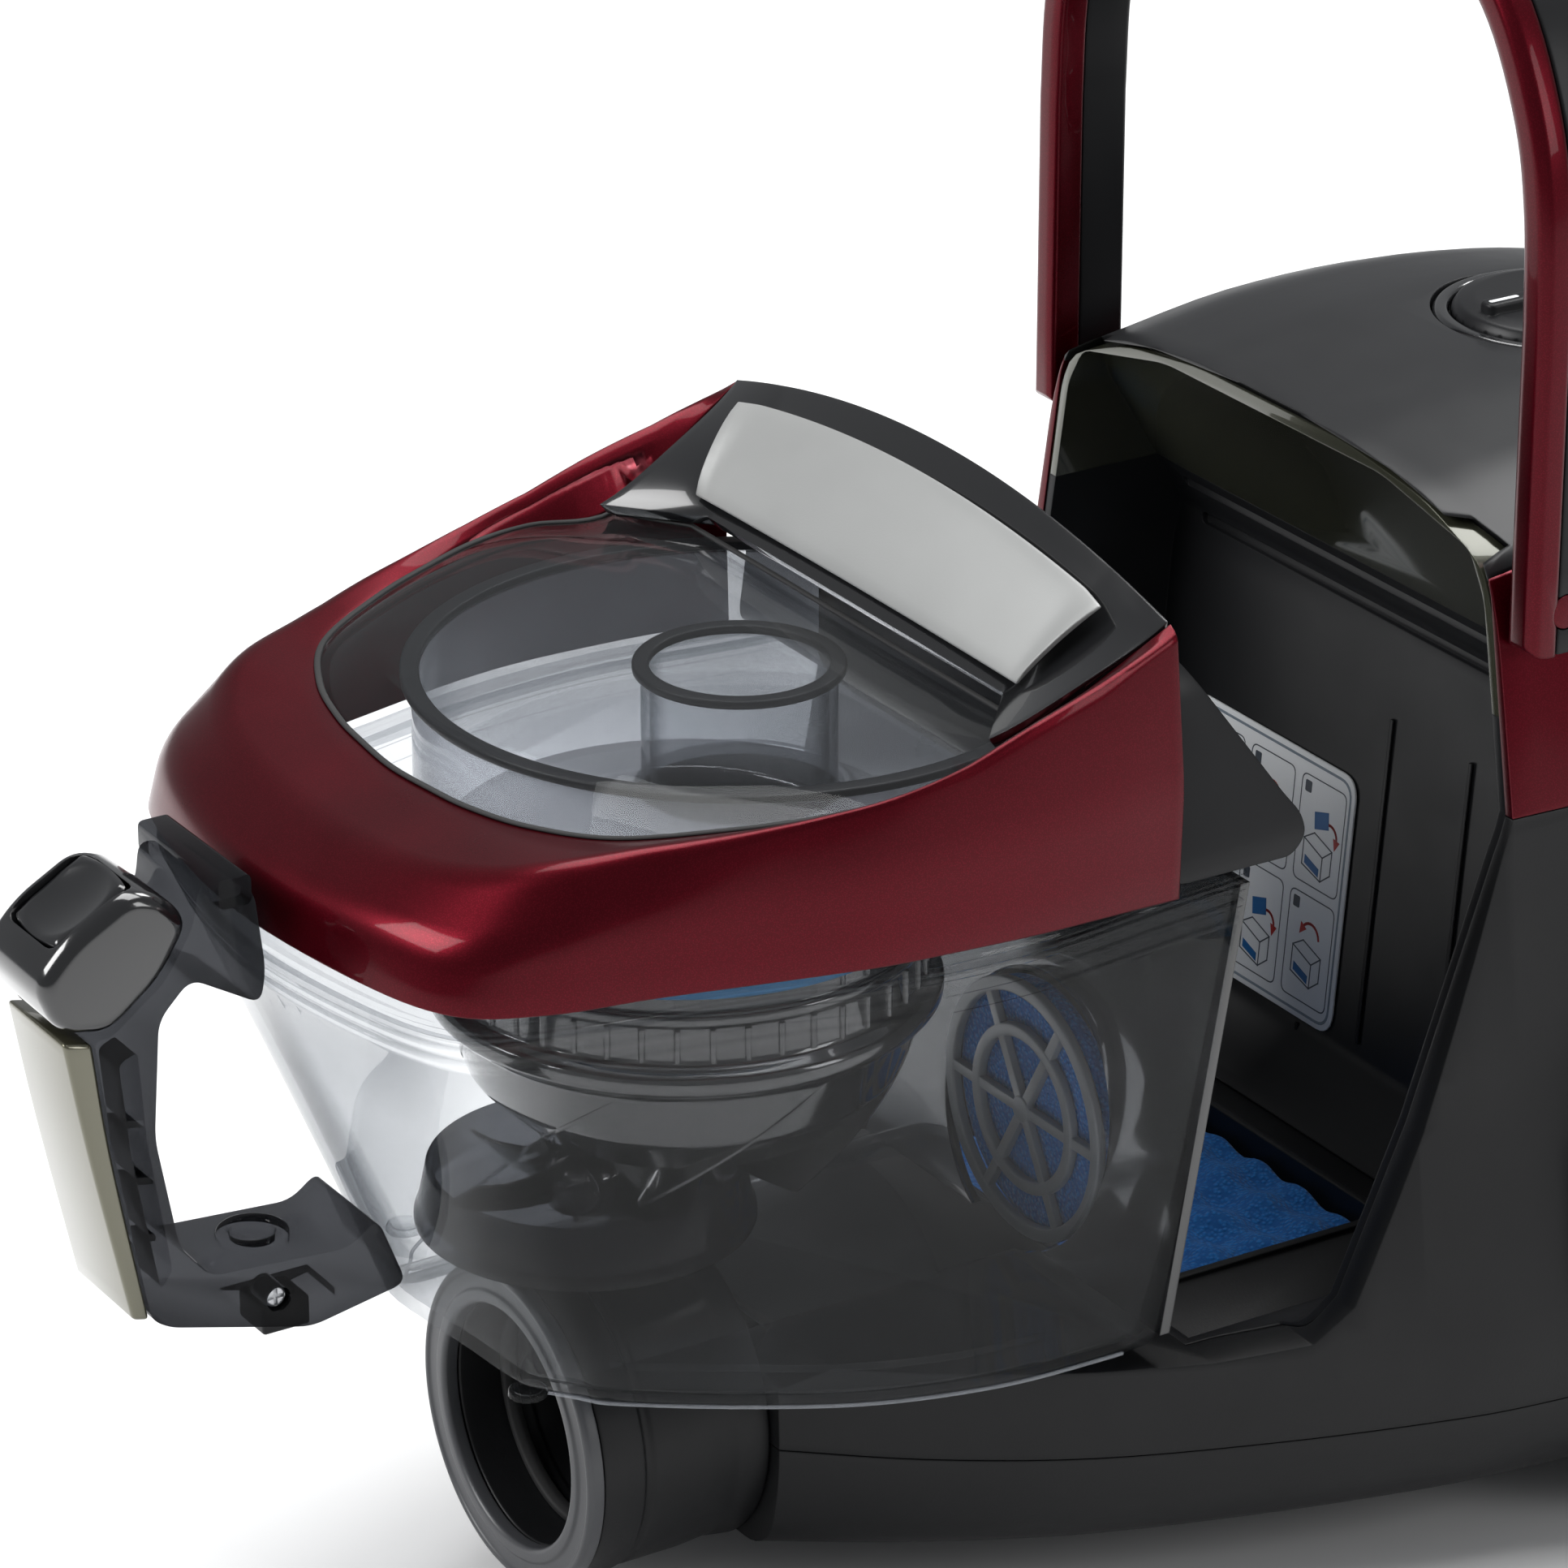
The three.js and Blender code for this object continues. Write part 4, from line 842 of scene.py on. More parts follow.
# ---- wheels
SPOKES = 9
for name, side in (("left", -1), ("right", 1)):

    def turned(profile, segments=120, soft=0.6):
        points = [(r, side * h) for r, h in profile]
        return lathe("x", points, (0, WHEEL_Y, WHEEL_R), segments, soft)

    hub = turned([(5.4, 106), (14, 106), (14, 122), (52, 122), (52, 106), (59.7, 106), (59.7, 129.4),
        (57.5, 130), (55.5, 127.6), (47, 126), (44, 131.6), (41.5, 132.5), (26, 130.4), (21.5, 130.6),
        (19.5, 133.4), (17, 134), (6, 133.6), (0, 133.6), (0, 126.4), (5.4, 126.4)])
    ribs = []
    for i in range(SPOKES):
        outline = rounded([(22, -2.6), (43, -4.4), (43, 4.4), (22, 2.6)], 1.2)
        outline = spoke(outline, 2 * math.pi * i / SPOKES, WHEEL_Y, WHEEL_R)
        ribs.append(prism("x", outline, *sorted((side * 129.5, side * 132.6))))
    hub = softened(join(hub, *ribs), 0.5, 3)
    form(hub, f"wheel_hub_{name}", f"wheel_{name}", "shell_black")
    tread = [(60, 104), (71, 104), (74, 106), (75, 109)]
    for groove in (112.5, 117, 121.5):
        tread += [(75, groove - 1), (73.8, groove - 0.6), (73.8, groove + 0.6), (75, groove + 1)]
    tread += [(75, 125), (73.4, 128.6), (69, 129.6), (66, 128.6), (63, 130), (60, 130)]
    form(turned(tread, 160, 0.4), f"tyre_{name}", f"wheel_{name}", "rubber")

caster = lathe("x", [(2.9, -5.8), (6.5, -5.8), (7, -5), (9.6, -5), (11, -3.6), (11, 3.6), (9.6, 5),
    (7, 5), (6.5, 5.8), (2.9, 5.8)], (0, CASTER_Y + CASTER_TRAIL, CASTER_R), 72, 0.5)
form(caster, "caster_wheel", "caster_wheel", "rubber")

# ---- controls
dial = lathe("z", [(0, 258), (24.6, 258), (25.4, 259), (25.4, 264.4), (24, 266.6), (20, 267.6),
    (9, 267.2), (0, 267.2)], (0, KNOB_Y, 0), 144, 0.8)
dial = join(dial, rod("z", 6.6, 244, 259, 0, KNOB_Y))
notches = [rod("z", 0.8, 258.6, 266.4, *p, 16) for p in around(36, 25.9, 0, KNOB_Y)]
dial = cut(dial, gathered(notches))
ridge = [(-2.6, KNOB_Y - 22), (2.6, KNOB_Y - 22), (2.2, KNOB_Y + 22), (-2.2, KNOB_Y + 22)]
ridge = softened(prism("z", rounded(ridge, 2), 266, 270), 0.8, 3)
dial = softened(join(dial, ridge), 0.25, 2)
form(dial, "power_knob", "power_knob", "gloss_black", finish="satin_black")
mark = oblong(-0.7, 0.7, KNOB_Y - 20.5, KNOB_Y - 12, 0.6)
piece(prism("z", mark, 269.9, 270.05), "power_knob_mark", "power_knob", "label")
seat = join(lathe("z", [(26, 257), (26, 264), (26.7, 264.8), (29, 264.8), (30, 263.8), (30, 254),
    (26, 254)], (0, KNOB_Y, 0), 144, 0.4), tube("z", 29.5, 7, 254, 257.5, 0, KNOB_Y, 96))
form(seat, "knob_bezel", "root", "gloss_black")
x, y, r = REWIND
key = lathe("z", [(0, 236), (5, 236), (5, 246), (r, 246), (r, 259.2), (r - 1, 260), (6, 259.3),
    (0, 258.9)], (x, y, 0), 96, 0.8)
form(key, "rewind_button", "rewind_button", "gloss_black", finish="satin_black")

# ---- carry handle
ARM_OUT, FEET_Z = 101, 226
BEND = [(101, 305), (99.6, 330), (94.5, 352), (82, 375), (64, 390), (40, 398.4), (15, 401.6)]


def carry_bow(section):
    """A (y, depth) section swept from one foot over the arch to the other."""
    half = curve(BEND + [(-15, 401.6)], 6)[: 6 * (len(BEND) - 1) + 1]
    path = [(ARM_OUT, FEET_Z), (ARM_OUT, FEET_Z + 20), (ARM_OUT, 285)] + [tuple(p) for p in half]
    path = path + [(0, 402)] + mirrored(path)
    rings = []
    for i, (x, z) in enumerate(path):
        ax, az = path[max(i - 1, 0)]
        bx, bz = path[min(i + 1, len(path) - 1)]
        tx, tz = bx - ax, bz - az
        size = math.hypot(tx, tz)
        nx, nz = tz / size, -tx / size
        rings.append([(x - nx * d, y, z - nz * d) for y, d in section])
    return loft(rings)


SHELL_SECTION = [(12.9, 9), (12, 6.8), (12, 2.2), (14.2, 0), (19.4, 0), (20.4, 1.0), (20.4, 9)]
GRIP_SECTION = [(20.7, 8.5), (20.7, 0.9), (32.2, 0.9), (34, 2.6), (34, 7.2), (33, 8.5)]
for name, slot, look, section, near, far, radius in (
    ("carry_handle_shell", "metallic_red", "metallic_red", SHELL_SECTION, 11, 45, 8),
    ("carry_handle_grip", "grey_plastic", "satin_black", GRIP_SECTION, 0, 35, 7)):
    bow = carry_bow(rounded(section, 0.9, 3))
    bow = overlap(bow, prism("x", oblong(near, far, FEET_Z, 420, radius, 8), -120, 120))
    bow = cut(bow, rod("x", 4.4, -110, 110, PIVOT_Y, PIVOT_Z))
    form(softened(bow, 0.4, 2), name, "carry_handle", slot, finish=look)

# ---- lid
# From the rear corner to the nose: lower rim, bulge, ridge and inner edge.
LID = [[(96.5, -79.5, 188), (97.5, -79.5, 215), (93.5, -79.5, 250), (90.5, -79.5, 252)],
    [(98, -98, 189), (99.5, -98, 216), (95.5, -98, 246), (88, -98, 240.5)],
    [(98.5, -118, 189.5), (100, -118, 215), (96.5, -118, 240.5), (84.5, -118, 228)],
    [(97.7, -138, 190), (99, -138, 214), (96.2, -138, 234), (91, -137, 226.5)],
    [(95.8, -155, 190), (97, -155, 212), (94.5, -154, 229.8), (90.5, -152, 225.5)],
    [(92.5, -170, 190), (93.5, -170, 211), (91, -169, 227.5), (86.5, -167, 224)],
    [(88, -188, 190), (88.5, -188, 210), (86, -187, 225.5), (79, -185, 222.5)],
    [(83, -208, 190), (83, -208, 208), (79, -206, 223.5), (66, -206, 220.5)],
    [(78.5, -230, 190), (78, -229, 207), (72, -224, 221), (48, -217, 219)],
    [(70, -249, 191), (69, -246, 205), (60, -235, 217.5), (30, -222, 218)],
    [(46, -259, 192), (45, -256, 205), (38, -243, 214.5), (15, -224, 217.7)],
    [(0, -264.5, 192.5), (0, -261, 204), (0, -246, 213), (0, -225, 217.5)]]
LID_T = 2.4
LID_STEPS = 7
rows = [sum((list(p) for p in s), []) for s in LID]
other = [[v if i % 3 else -v for i, v in enumerate(row)] for row in rows[-2::-1]]
LID_ROWS = [row.reshape(4, 3) for row in curve(rows + other, LID_STEPS)]
MIDDLE = np.array([0.0, -150.0])


def lid_line(row):
    """Rim, bulge, ridge and inner edge with their corners eased."""
    a, b, c, d = row
    out = [a, a + (b - a) * 0.35]
    out += eased(a, b, c, 5.5, 2.3, 5) + eased(b, c, d, 4.5, 2.3, 5)
    return out + [c + (d - c) * 0.75, d]


def lid_section(row):
    outer = lid_line(row)
    inner = []
    for i, p in enumerate(outer):
        away = np.linalg.norm(p[:2] - MIDDLE)
        step = 0 if i == len(outer) - 1 else LID_T
        down = 0 if i < 2 else LID_T
        out = (p[:2] - MIDDLE) / away * step
        y = p[1] if p[1] > -80 else p[1] - out[1]
        inner.append(np.array([p[0] - out[0], y, p[2] - down]))
    return outer + inner[::-1]


cover = loft([lid_section(row) for row in LID_ROWS])
form(softened(cover, 0.7, 3, 40), "lid_cover", "bin", "metallic_red", 30)

# A ridge of gasket follows the cover's inner edge, under the window's rim.
EDGE = [row[3] for row in LID_ROWS[2 * LID_STEPS : -2 * LID_STEPS]]


WINDOW_REAR = [(x, -106.0, 227.4) for x in np.linspace(-68, 68, 16)]


def pulled(p, gap):
    """A point moved level towards the middle."""
    away = math.hypot(p[0], p[1] - MIDDLE[1])
    return (p[0] * (1 - gap / away), p[1] - (p[1] - MIDDLE[1]) * gap / away, p[2])


def window_ring(gap, scale=1.0, lift=0.0, z=None):
    ring = [pulled(p, gap) for p in EDGE] + WINDOW_REAR
    return [(x * scale, BIN_AXIS_Y + (y - BIN_AXIS_Y) * scale, h + lift if z is None else z)
        for x, y, h in ring]


domed = ((0.3, 228.6), (0.7, 228.55), (0.84, 228.45), (0.885, 228.1))
domed = [window_ring(0.6, s, z=z) for s, z in domed]
underside = [window_ring(0.6, s, z=z) for s, z in ((0.86, 226.2), (0.3, 226.4))]
window = loft([*domed, window_ring(0.6, 1.0, 0.2), window_ring(0.6, 1.0, -2), *underside])
form(window, "lid_window", "bin", "clear_plastic", 40, "window_clear")


def bead(path, radius, sides=8, closed=True, flat=0.6):
    """A thin bead along a level path."""
    rings = []
    count = len(path)
    for i, p in enumerate(path):
        a = path[i - 1 if closed or i else 0]
        b = path[(i + 1) % count if closed or i + 1 < count else i]
        tx, ty = b[0] - a[0], b[1] - a[1]
        size = math.hypot(tx, ty) or 1.0
        nx, ny = ty / size, -tx / size
        ring = []
        for k in range(sides):
            w = 2 * math.pi * k / sides
            d, h = radius * math.cos(w), radius * flat * math.sin(w)
            ring.append((p[0] + nx * d, p[1] + ny * d, p[2] + h))
        rings.append(ring)
    return loft(rings, loop=closed)


gasket = bead([(x, y, z + 0.35) for x, y, z in window_ring(0.3)], 0.8)
piece(gasket, "lid_window_gasket", "bin", "gloss_black", finish="rubber")


def panel_top(x):
    return (x, -79.8, 252.4 + 12.6 * (1 - (x / 90) ** 2))


def panel_foot(x):
    side = max(0, abs(x) - 68) / 16
    return (x * 0.925, -104.8 - 12.6 * side, 231.4)


def panel_section(x):
    """A dished strip from the panel's top edge to its foot."""
    top, foot = panel_top(x), panel_foot(x)
    front = []
    for k in range(13):
        t = k / 12
        p = mix(top, foot, t)
        dip = 1.5 * (1 - (2 * t - 1) ** 4)
        front.append((p[0], p[1] + dip * 0.7, p[2] - dip * 0.7))
    back = [(a, b + 2, c - 2.6) for a, b, c in reversed(front)]
    return front + back


panel = loft([panel_section(x) for x in np.linspace(-90, 90, 91)])
panel = overlap(panel, box(-200, 200, -200, -79.9, 0, 400))
keep_out = []
for low, bulge, ridge, edge in LID_ROWS:
    keep_out.append([low, bulge, ridge, (edge[0] - math.copysign(0.6, edge[0]), edge[1], edge[2]),
        (edge[0] * 0.99, edge[1], edge[2] - 8), (low[0] * 0.9, low[1], low[2])])
panel = softened(largest(cut(panel, loft(keep_out))), 0.5, 3)
form(panel, "lid_panel", "bin", "gloss_black")


def plate_section(u):
    def place(v, out):
        x = u * (76 - 8 * v)
        low = mix(panel_top(x), panel_foot(x), 0.2 + 0.72 * v)
        return (x, low[1] - out * 0.76, low[2] + out * 0.65)

    steps = [k / 8 for k in range(9)]
    crown = [place(v, 2.9 + 0.7 * (1 - (2 * v - 1) ** 4)) for v in steps]
    return crown + [place(v, 2.1) for v in reversed(steps)]


cover_plate = loft([plate_section(u) for u in np.linspace(-1, 1, 61)])
form(softened(cover_plate, 0.6, 3, 50), "lid_plate", "bin", "silver_plate")


def frame_form(t, foot):
    """The block behind the lid, drawn in by t."""
    side = [(-78.9 + t, foot), (-45 - t, foot), (-41 - t, 193), (-42 - t, 198 - t * 0.6),
        (-46 - t * 0.8, 203 - t), (-74 - t * 0.4, 243 - t), (-78.9 + t, 246 - t)]
    half = [(91.5 - t, 150), (91.5 - t, 190), (88.6 - t, 204), (83.4 - t, 234), (76 - t, 243 - t),
        (40, 248 - t), (0, 250 - t)]
    front = rounded(half + mirrored(half[:-1]), 9, 5)
    return overlap(prism("x", rounded(side, 5, 5), -120, 120), prism("y", front, -100, 0))


ear = cut(frame_form(0, 188.6), frame_form(2.4, 179.6))
form(softened(ear, 0.9, 3), "lid_rear_frame", "bin", "shell_black", finish="satin_black")

# ---- bin
RING_Y = -134.6
DRUM = (-4.4, -147, 0)
BIN_FLOOR, BIN_TOP, BIN_T = 70, 184, 2.4
GRILLE = (24, 104, 33)
TURBINE = (-8, -172, 96)
BIN = [(90, -57, 87, -77), (92.5, -82, 87.5, -90), (96.6, -118, 86, -117), (93.8, -155, 78, -146),
    (86, -188, 64, -172), (77, -230, 47, -196), (69, -247, 40, -202), (45, -257, 25, -212),
    (0, -262.8, 0, -220.5)]
BIN_LINE = curve(BIN + [(-a, b, -c, d) for a, b, c, d in BIN[-2::-1]], 6)


def bin_ring(z, inset):
    """The container's outline at a height; BIN gives it at the top and the floor."""
    t = (BIN_TOP - z) / (BIN_TOP - BIN_FLOOR)
    ring = []
    for a, b, c, d in BIN_LINE:
        x, y = a + (c - a) * t, b + (d - b) * t
        away = math.hypot(x, y - BIN_AXIS_Y)
        ring.append((x - x / away * inset, y - (y - BIN_AXIS_Y) / away * inset, z))
    return ring


def channel(grow):
    return rod("y", COLLAR_R + 1.2 + grow, -300, -30, 0, INLET_Z, 160)


levels = [(70, 5), (70.3, 3.2), (71.2, 1.8), (73, 0.8), (75, 0.25), (77, 0), (110, 0), (150, 0),
    (174, 0), (174.6, -0.5), (175.6, -0.5), (176.2, 0), (178.4, 0), (179, -0.6), (180, -0.6),
    (180.6, 0), (182.4, 0), (183, -0.7), (184, -0.7)]
shell = loft([bin_ring(z, inset) for z, inset in levels])
inside = loft([bin_ring(72.4, 6), bin_ring(73.2, 4), bin_ring(76, BIN_T), bin_ring(130, BIN_T),
    bin_ring(189, BIN_T)])
shell = cut(shell, channel(0), cut(inside, channel(BIN_T)),
    rod("y", GRILLE[2], -100, -30, *GRILLE[:2]))
form(largest(shell), "bin_container", "bin", "clear_plastic", 36)

RIM_LEVELS = ((0, 184.3), (-0.5, 184.7), (-0.5, 185.5), (0.1, 185.9), (0.1, 186.4), (-0.4, 186.8),
    (0, 187.7))
rim_flat = [[(x, y, h) for x, y, _ in bin_ring(BIN_TOP, inset)] for inset, h in RIM_LEVELS]
rim_gap = [[(x, y, h) for x, y, _ in bin_ring(BIN_TOP, 6)] for h in (183, 190)]
rim = cut(loft(rim_flat), loft(rim_gap))
form(rim, "lid_rim", "bin", "clear_plastic", 36)


def back_line(z):
    return -57 - (BIN_TOP - z) * 20 / (BIN_TOP - BIN_FLOOR)


back = prism("x", [(back_line(183) + 0.4, 183), (back_line(74) + 0.4, 74), (back_line(74) + 3, 74),
    (back_line(183) + 3, 183)], -88, 88)
back = cut(back, rod("y", GRILLE[2] + 0.4, -120, -30, *GRILLE[:2], 96))
form(softened(back, 0.6, 3), "bin_back_plate", "bin", "gloss_black")

gx, gz = GRILLE[:2]
gy = back_line(gz)
bars = []
for r, inner in ((32.4, 28.8), (21, 17.8)):
    bars.append(tube("y", r, inner, gy - 1.2, gy + 1.2, gx, gz, 96, 0.6))
for i in range(6):
    bar = spoke([(0, -1.3), (30, -1.3), (30, 1.3), (0, 1.3)], math.pi * i / 3, gx, gz)
    bars.append(prism("y", bar, gy - 1.0, gy + 1.0))
bars.append(rod("y", 3.4, gy - 1.4, gy + 1.2, gx, gz, 40, 0.5))
grille = softened(join(bars[0], *bars[1:]), 0.35, 2)
form(grille, "outlet_grille", "bin", "grey_plastic", finish="pale_grey")

filling = lathe("y", [(0, gy + 1.6), (29, gy + 1.6), (31.5, gy + 3), (31.5, gy + 6), (30, gy + 7),
    (0, gy + 7)], (gx, 0, gz), 96, 0.8)
foam_pad = form(filling, "outlet_foam", "bin", "foam")

# Lines on the container's floor and lower edge, and two small moulded bosses.
floor_line = [(x, y, 73.2) for x, y, _ in bin_ring(73.0, 17.0) if y < -96 and abs(x) > 31]
edge_line = [p for p in bin_ring(71.4, 1.3) if p[1] < -84 and abs(p[0]) > 33]
for kind, points, radius, flat, look in (("floor", floor_line, 0.9, 0.9, "clear_plastic"),
    ("edge", edge_line, 0.45, 1.0, "frosted_clear")):
    for name, side in (("right", 1), ("left", -1)):
        line = bead([p for p in points if p[0] * side > 0], radius, 8, False, flat)
        piece(line, f"bin_{kind}_line_{name}", "bin", "clear_plastic", finish=look)
BOSS = [(0, 72.9), (4.6, 72.9), (4.4, 74.4), (3.6, 74.8), (3.2, 74), (0, 73.8)]
for name, x, y in (("left", -52, -196), ("right", 34, -212)):
    boss = lathe("z", BOSS, (x, y, 0), 48, 0.3)
    piece(boss, f"bin_floor_boss_{name}", "bin", "clear_plastic")

# ---- cyclone
fit = box(-100, 100, -300, -82, 0, 400)
sleeve = lathe("z", [(24, 190), (74.5, 190), (74.5, 221), (72.5, 221), (72.5, 196), (70, 192.6),
    (62, 191.6), (27, 191.6), (25.4, 193.4), (24, 193.4)], (0, RING_Y, 0), 160, 0.5)
sleeve = overlap(sleeve, copied(fit))
form(sleeve, "cyclone_sleeve", "bin", "clear_plastic", finish="frosted_clear")
ring = overlap(tube("z", 77, 72.5, 221.4, 223.6, 0, RING_Y, 160, 0.8), fit)
form(ring, "cyclone_seal", "bin", "gloss_black", finish="satin_black")
pipe = tube("z", 22.5, 20.5, 172, 221, 0, RING_Y, 96, 0.4)
form(pipe, "vortex_tube", "bin", "clear_plastic")
ring = tube("z", 24.5, 20.5, 221.4, 223.6, 0, RING_Y, 96, 0.8)
form(ring, "vortex_seal", "bin", "gloss_black", finish="satin_black")
drum = lathe("z", [(38, 171), (38, 182), (56, 182), (56, 163), (57.2, 162), (57.2, 160), (56, 159),
    (56, 150), (60, 148), (60, 144), (55, 141), (51, 127), (40, 116), (21, 111), (18, 106), (15, 106),
    (18, 113), (38, 118), (48, 129), (53, 144), (53, 179), (41, 179), (41, 171)], DRUM, 144, 1.6, 4)
SLATS, VANES, BLADES, DRUM_R = 44, 7, 6, 56
slats = []
for x, y in around(SLATS, DRUM_R, *DRUM[:2]):
    slats += [rod("z", 0.8, 150.6, 158.6, x, y, 12), rod("z", 0.7, 164, 180, x, y, 12)]


def drum_vane(start):
    """A vane under the drum that twists and grows as it rises."""

    def inner(t):
        return 24 + 23 * t

    def place(t, radius, w):
        a = math.radians(start + 58 * t) + (radius - inner(t)) * 0.006 + w / radius
        return (DRUM[0] + radius * math.cos(a), DRUM[1] + radius * math.sin(a), 107 + 36 * t)

    return blade(11, 9, lambda t: (inner(t), 55 - 13 * (1 - t) ** 1.5), place)


drum = join(drum, gathered(slats + [drum_vane(i * 360 / VANES) for i in range(VANES)]))
form(drum, "cyclone_drum", "bin", "smoke_plastic", finish="gloss_black")
band = lathe("z", [(56.9, 166.6), (57.7, 167), (57.7, 170.2), (56.9, 170.6)], DRUM, 144, 0.2)
piece(band, "cyclone_drum_band", "bin", "smoke_plastic", finish="blue_plastic")
cup = lathe("z", [(5, -6), (40, -6), (40, -4.4), (39, -2), (37, 8), (35.4, 8), (37.6, -2.5), (37, -4),
    (5, -4)], TURBINE, 120, 0.5)
form(cup, "turbine_cup", "bin", "clear_plastic", finish="smoke_plastic")


def rotor_blade(start):
    """A blade that bows sideways and leans as it rises."""
    tx, ty, tz = TURBINE
    root = 4

    def tip(t):
        return 33 - t * 3.5

    def place(t, r, w):
        a = math.radians(start + t * 24)
        c, s = math.cos(a), math.sin(a)
        bow = w + 6 * math.sin(math.pi * (r - root) / (tip(t) - root) * 0.75)
        return (tx + r * c - bow * s, ty + r * s + bow * c, tz - 2 + t * 11)

    return blade(10, 12, lambda t: (root, tip(t)), place)


rotor = lathe("z", [(0, -3), (9, -3), (9, 6), (7.6, 8.4), (4, 9.6), (0, 9.6)], TURBINE, 64, 0.8)
rotor = join(rotor, *[rotor_blade(i * 360 / BLADES) for i in range(BLADES)])
form(softened(rotor, 0.2, 2, 50), "turbine_rotor", "turbine", "smoke_plastic", finish="gloss_black")

# ---- bin handle
HALF = 14
grip_outline = [(-264.6, 184), (-267, 204), (-280.4, 208), (-281.6, 198.6), (-289, 187), (-302.4, 177),
    (-306.6, 177), (-303, 148), (-295.5, 106), (-291, 103), (-256, 93.5), (-231.6, 98), (-238.6, 116),
    (-246, 110.5), (-281, 113), (-288, 122), (-293, 150), (-291, 178), (-283, 186), (-266, 176)]
handle = join(prism("x", rounded(grip_outline, 3.5, 5), -HALF, HALF),
    prism("x", oblong(-278, -270, 203, 210, 1.5), -19, 19))
pocket = [(-301, 170), (-299, 148), (-293, 113), (-290, 117), (-295, 150), (-296.4, 172)]
handle = cut(handle, box(-6.6, 6.6, -268, -246, 80, 97.4), prism("x", rounded(pocket, 1.5), 4, 20),
    rod("x", 3, 6, 20, -264, 102.6))
boss = lathe("z", [(5.2, 109), (8.4, 109), (8.4, 113.4), (7.8, 114), (5.8, 114), (5.2, 113.4)],
    (0, -263, 0), 64, 0.3)
handle = join(handle, boss)
rungs = []
for z in (126, 140, 154):
    rung = [(-300, z), (-293.4, z - 1.2), (-293.4, z + 0.6), (-300, z + 1.8)]
    rungs.append(prism("x", rounded(rung, 0.8), 3.6, 13.2))
handle = softened(join(handle, *rungs), 0.9, 3)
form(handle, "bin_handle", "bin", "smoke_plastic", finish="handle_smoke")
front_outline = [(-307, 176.4), (-303.4, 148), (-295.9, 106), (-300, 107), (-308.6, 148), (-314, 178)]
front = prism("x", curve(front_outline[:3], 8) + curve(front_outline[3:], 8), -HALF, HALF)
form(softened(front, 1.2, 4), "handle_front_cover", "bin", "gloss_black", finish="champagne")

BUTTON_Y, BUTTON_Z, LEAN = -305, 205.6, math.atan2(14, 23)


def leaned(obj):
    """From a level block at the origin to its place on the cap's slope."""
    c, s = math.cos(LEAN), math.sin(LEAN)
    for v in obj.data.vertices:
        y, z = v.co.y * 1000 - SHIFT_Y, v.co.z * 1000
        v.co.y = (y * c - z * s + BUTTON_Y + SHIFT_Y) / 1000
        v.co.z = (y * s + z * c + BUTTON_Z) / 1000
    return obj


cap_outline = [(-320, 192.5), (-311.5, 202), (-297, 210), (-288.4, 207), (-282.2, 199.6),
    (-289.6, 187.8), (-302.6, 177.6), (-315, 180.5)]
hole = oblong(-11.4, 11.4, -11.4, 11.4, 4)
cap = softened(prism("x", rounded(cap_outline, 5, 6), -HALF - 1, HALF + 1), 3.6, 6)
cap = softened(cut(cap, leaned(prism("z", hole, -10, 10))), 0.5, 3, 50)
form(cap, "handle_cap", "bin", "gloss_black")


def button_form():
    """A square key with a dished top and rolled edges."""
    half, steps = 11, 28
    tops = []
    for j in range(steps + 1):
        for i in range(steps + 1):
            u, v = 2 * i / steps - 1, 2 * j / steps - 1
            k = 1 - 0.1 * (u * v) ** 2
            dish = 1.5 * min(1, u * u + v * v)
            roll = 0.9 * max(0, (max(abs(u), abs(v)) - 0.86) / 0.14) ** 2
            tops.append((u * half * k, v * half * k, -2.2 + dish - roll))
    return leaned(slab(tops, steps + 1, -5.6))


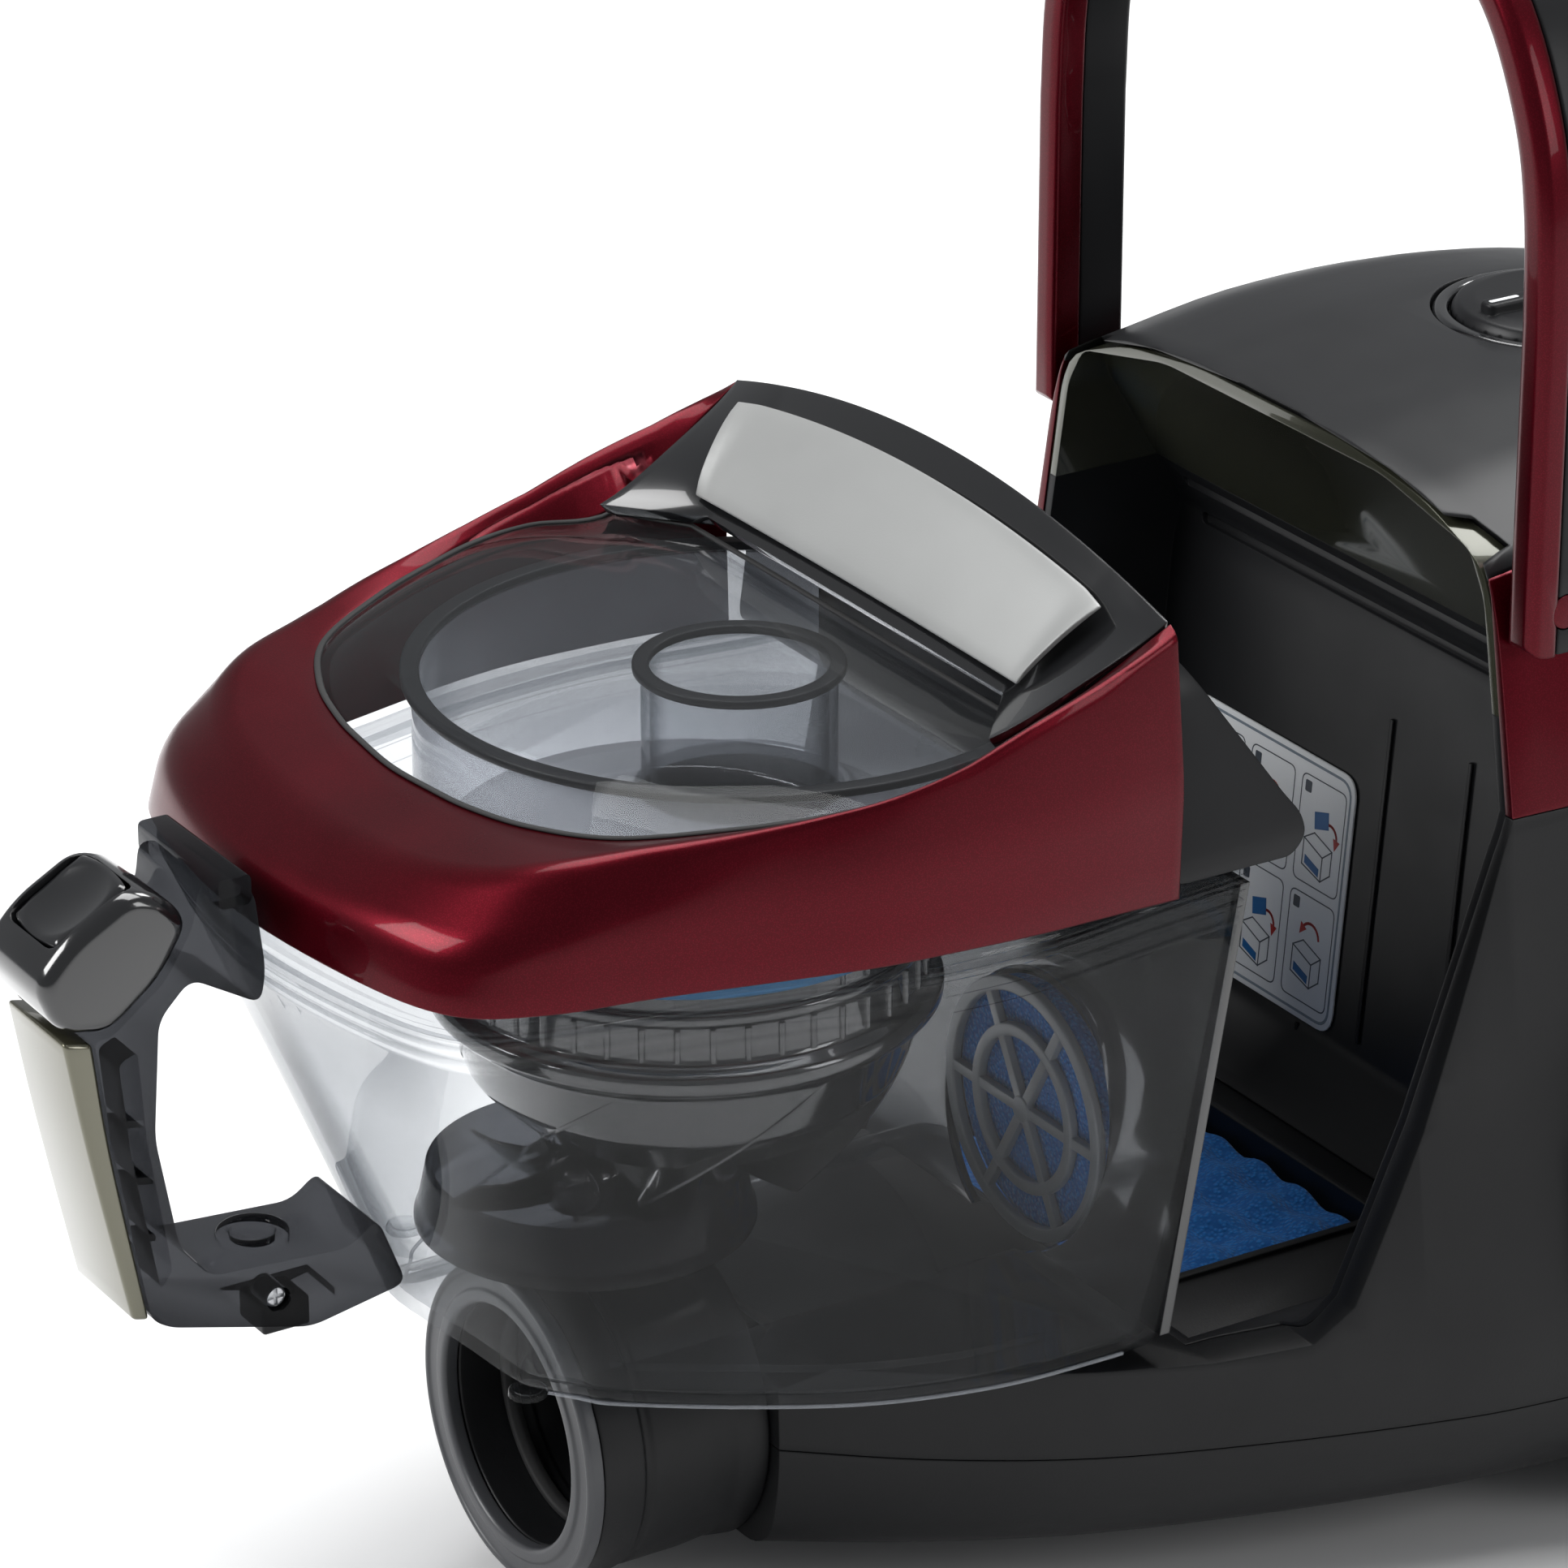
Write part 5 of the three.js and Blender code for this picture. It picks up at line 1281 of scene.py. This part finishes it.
form(button_form(), "push_button", "push_button", "gloss_black", 40)
latch = softened(box(-6, 6, -264, -252, 89.5, 97), 0.9, 3)
form(latch, "bin_latch", "bin_latch", "gloss_black", finish="satin_black")
screw = lathe("x", [(0, 6.4), (2.6, 6.4), (2.6, 12.2), (2.1, 12.6), (0, 12.6)], (0, -264, 102.6),
    48, 0.3)
screw = cut(screw, box(11.8, 14, -266.2, -261.8, 102.2, 103.0),
    box(11.8, 14, -264.4, -263.6, 100.4, 104.8))
form(screw, "handle_screw", "bin", "metal")

# ---- the CAD nodes that stay shown
LOOKS = {row["node"]: row["material_slot"] for row in frame["record"]["subparts"]}
for name, obj in frame["nodes"].items():
    if obj.hide_render:
        continue
    obj.data.materials.clear()
    obj.data.materials.append(FINISH[LOOKS[name]])
    smooth(obj.data, 28)
    edges = obj.modifiers.new("edges", "BEVEL")
    edges.width = 0.0004
    edges.segments = 2
    edges.limit_method = "ANGLE"
    edges.angle_limit = math.radians(40)

# ---- floor and light
floor_mesh = bpy.data.meshes.new("floor")
floor_mesh.from_pydata([(-6, -6, 0), (6, -6, 0), (6, 6, 0), (-6, 6, 0)], [], [(0, 1, 2, 3)])
floor = placed("floor", floor_mesh)
n = Nodes("floor")
shade = n.colours(n.noise(1.2, 2), (0.86, 0.86, 0.86), (0.89, 0.89, 0.89))
n.finish(n.add("BsdfPrincipled", Base_Color=shade, Roughness=0.6))
floor.data.materials.append(FINISH["floor"])


def softbox(name, place, aim_z, width, height, watts):
    """A rectangular light that faces a point on the Z axis."""
    data = bpy.data.lights.new(name, "AREA")
    data.shape = "RECTANGLE"
    data.size, data.size_y = width, height
    data.energy = watts
    light = placed(name, data)
    light.location = place
    way = Vector(place) - Vector((0, 0, aim_z))
    light.rotation_euler = way.to_track_quat("Z", "Y").to_euler()


softbox("key", (-0.6, -1.9, 1.6), 0.15, 1.3, 0.9, 42)
softbox("overhead", (-0.3, 0.5, 2.4), 0.1, 2.4, 1.4, 62)
softbox("fill", (2.2, 1.3, 1.2), 0.15, 0.7, 1.2, 13)
softbox("back", (-0.9, 2.1, 2.3), 0.2, 1.0, 0.7, 24)

world = bpy.data.worlds.new("studio")
world.use_nodes = True
backdrop = world.node_tree.nodes["Background"]
backdrop.inputs["Color"].default_value = (0.93, 0.95, 0.98, 1)
backdrop.inputs["Strength"].default_value = 0.26
scene.world = world
scene.view_settings.view_transform = "Standard"
# Light passes through many clear walls before it leaves the bin.
scene.cycles.transparent_max_bounces = 64
scene.cycles.max_bounces = 16
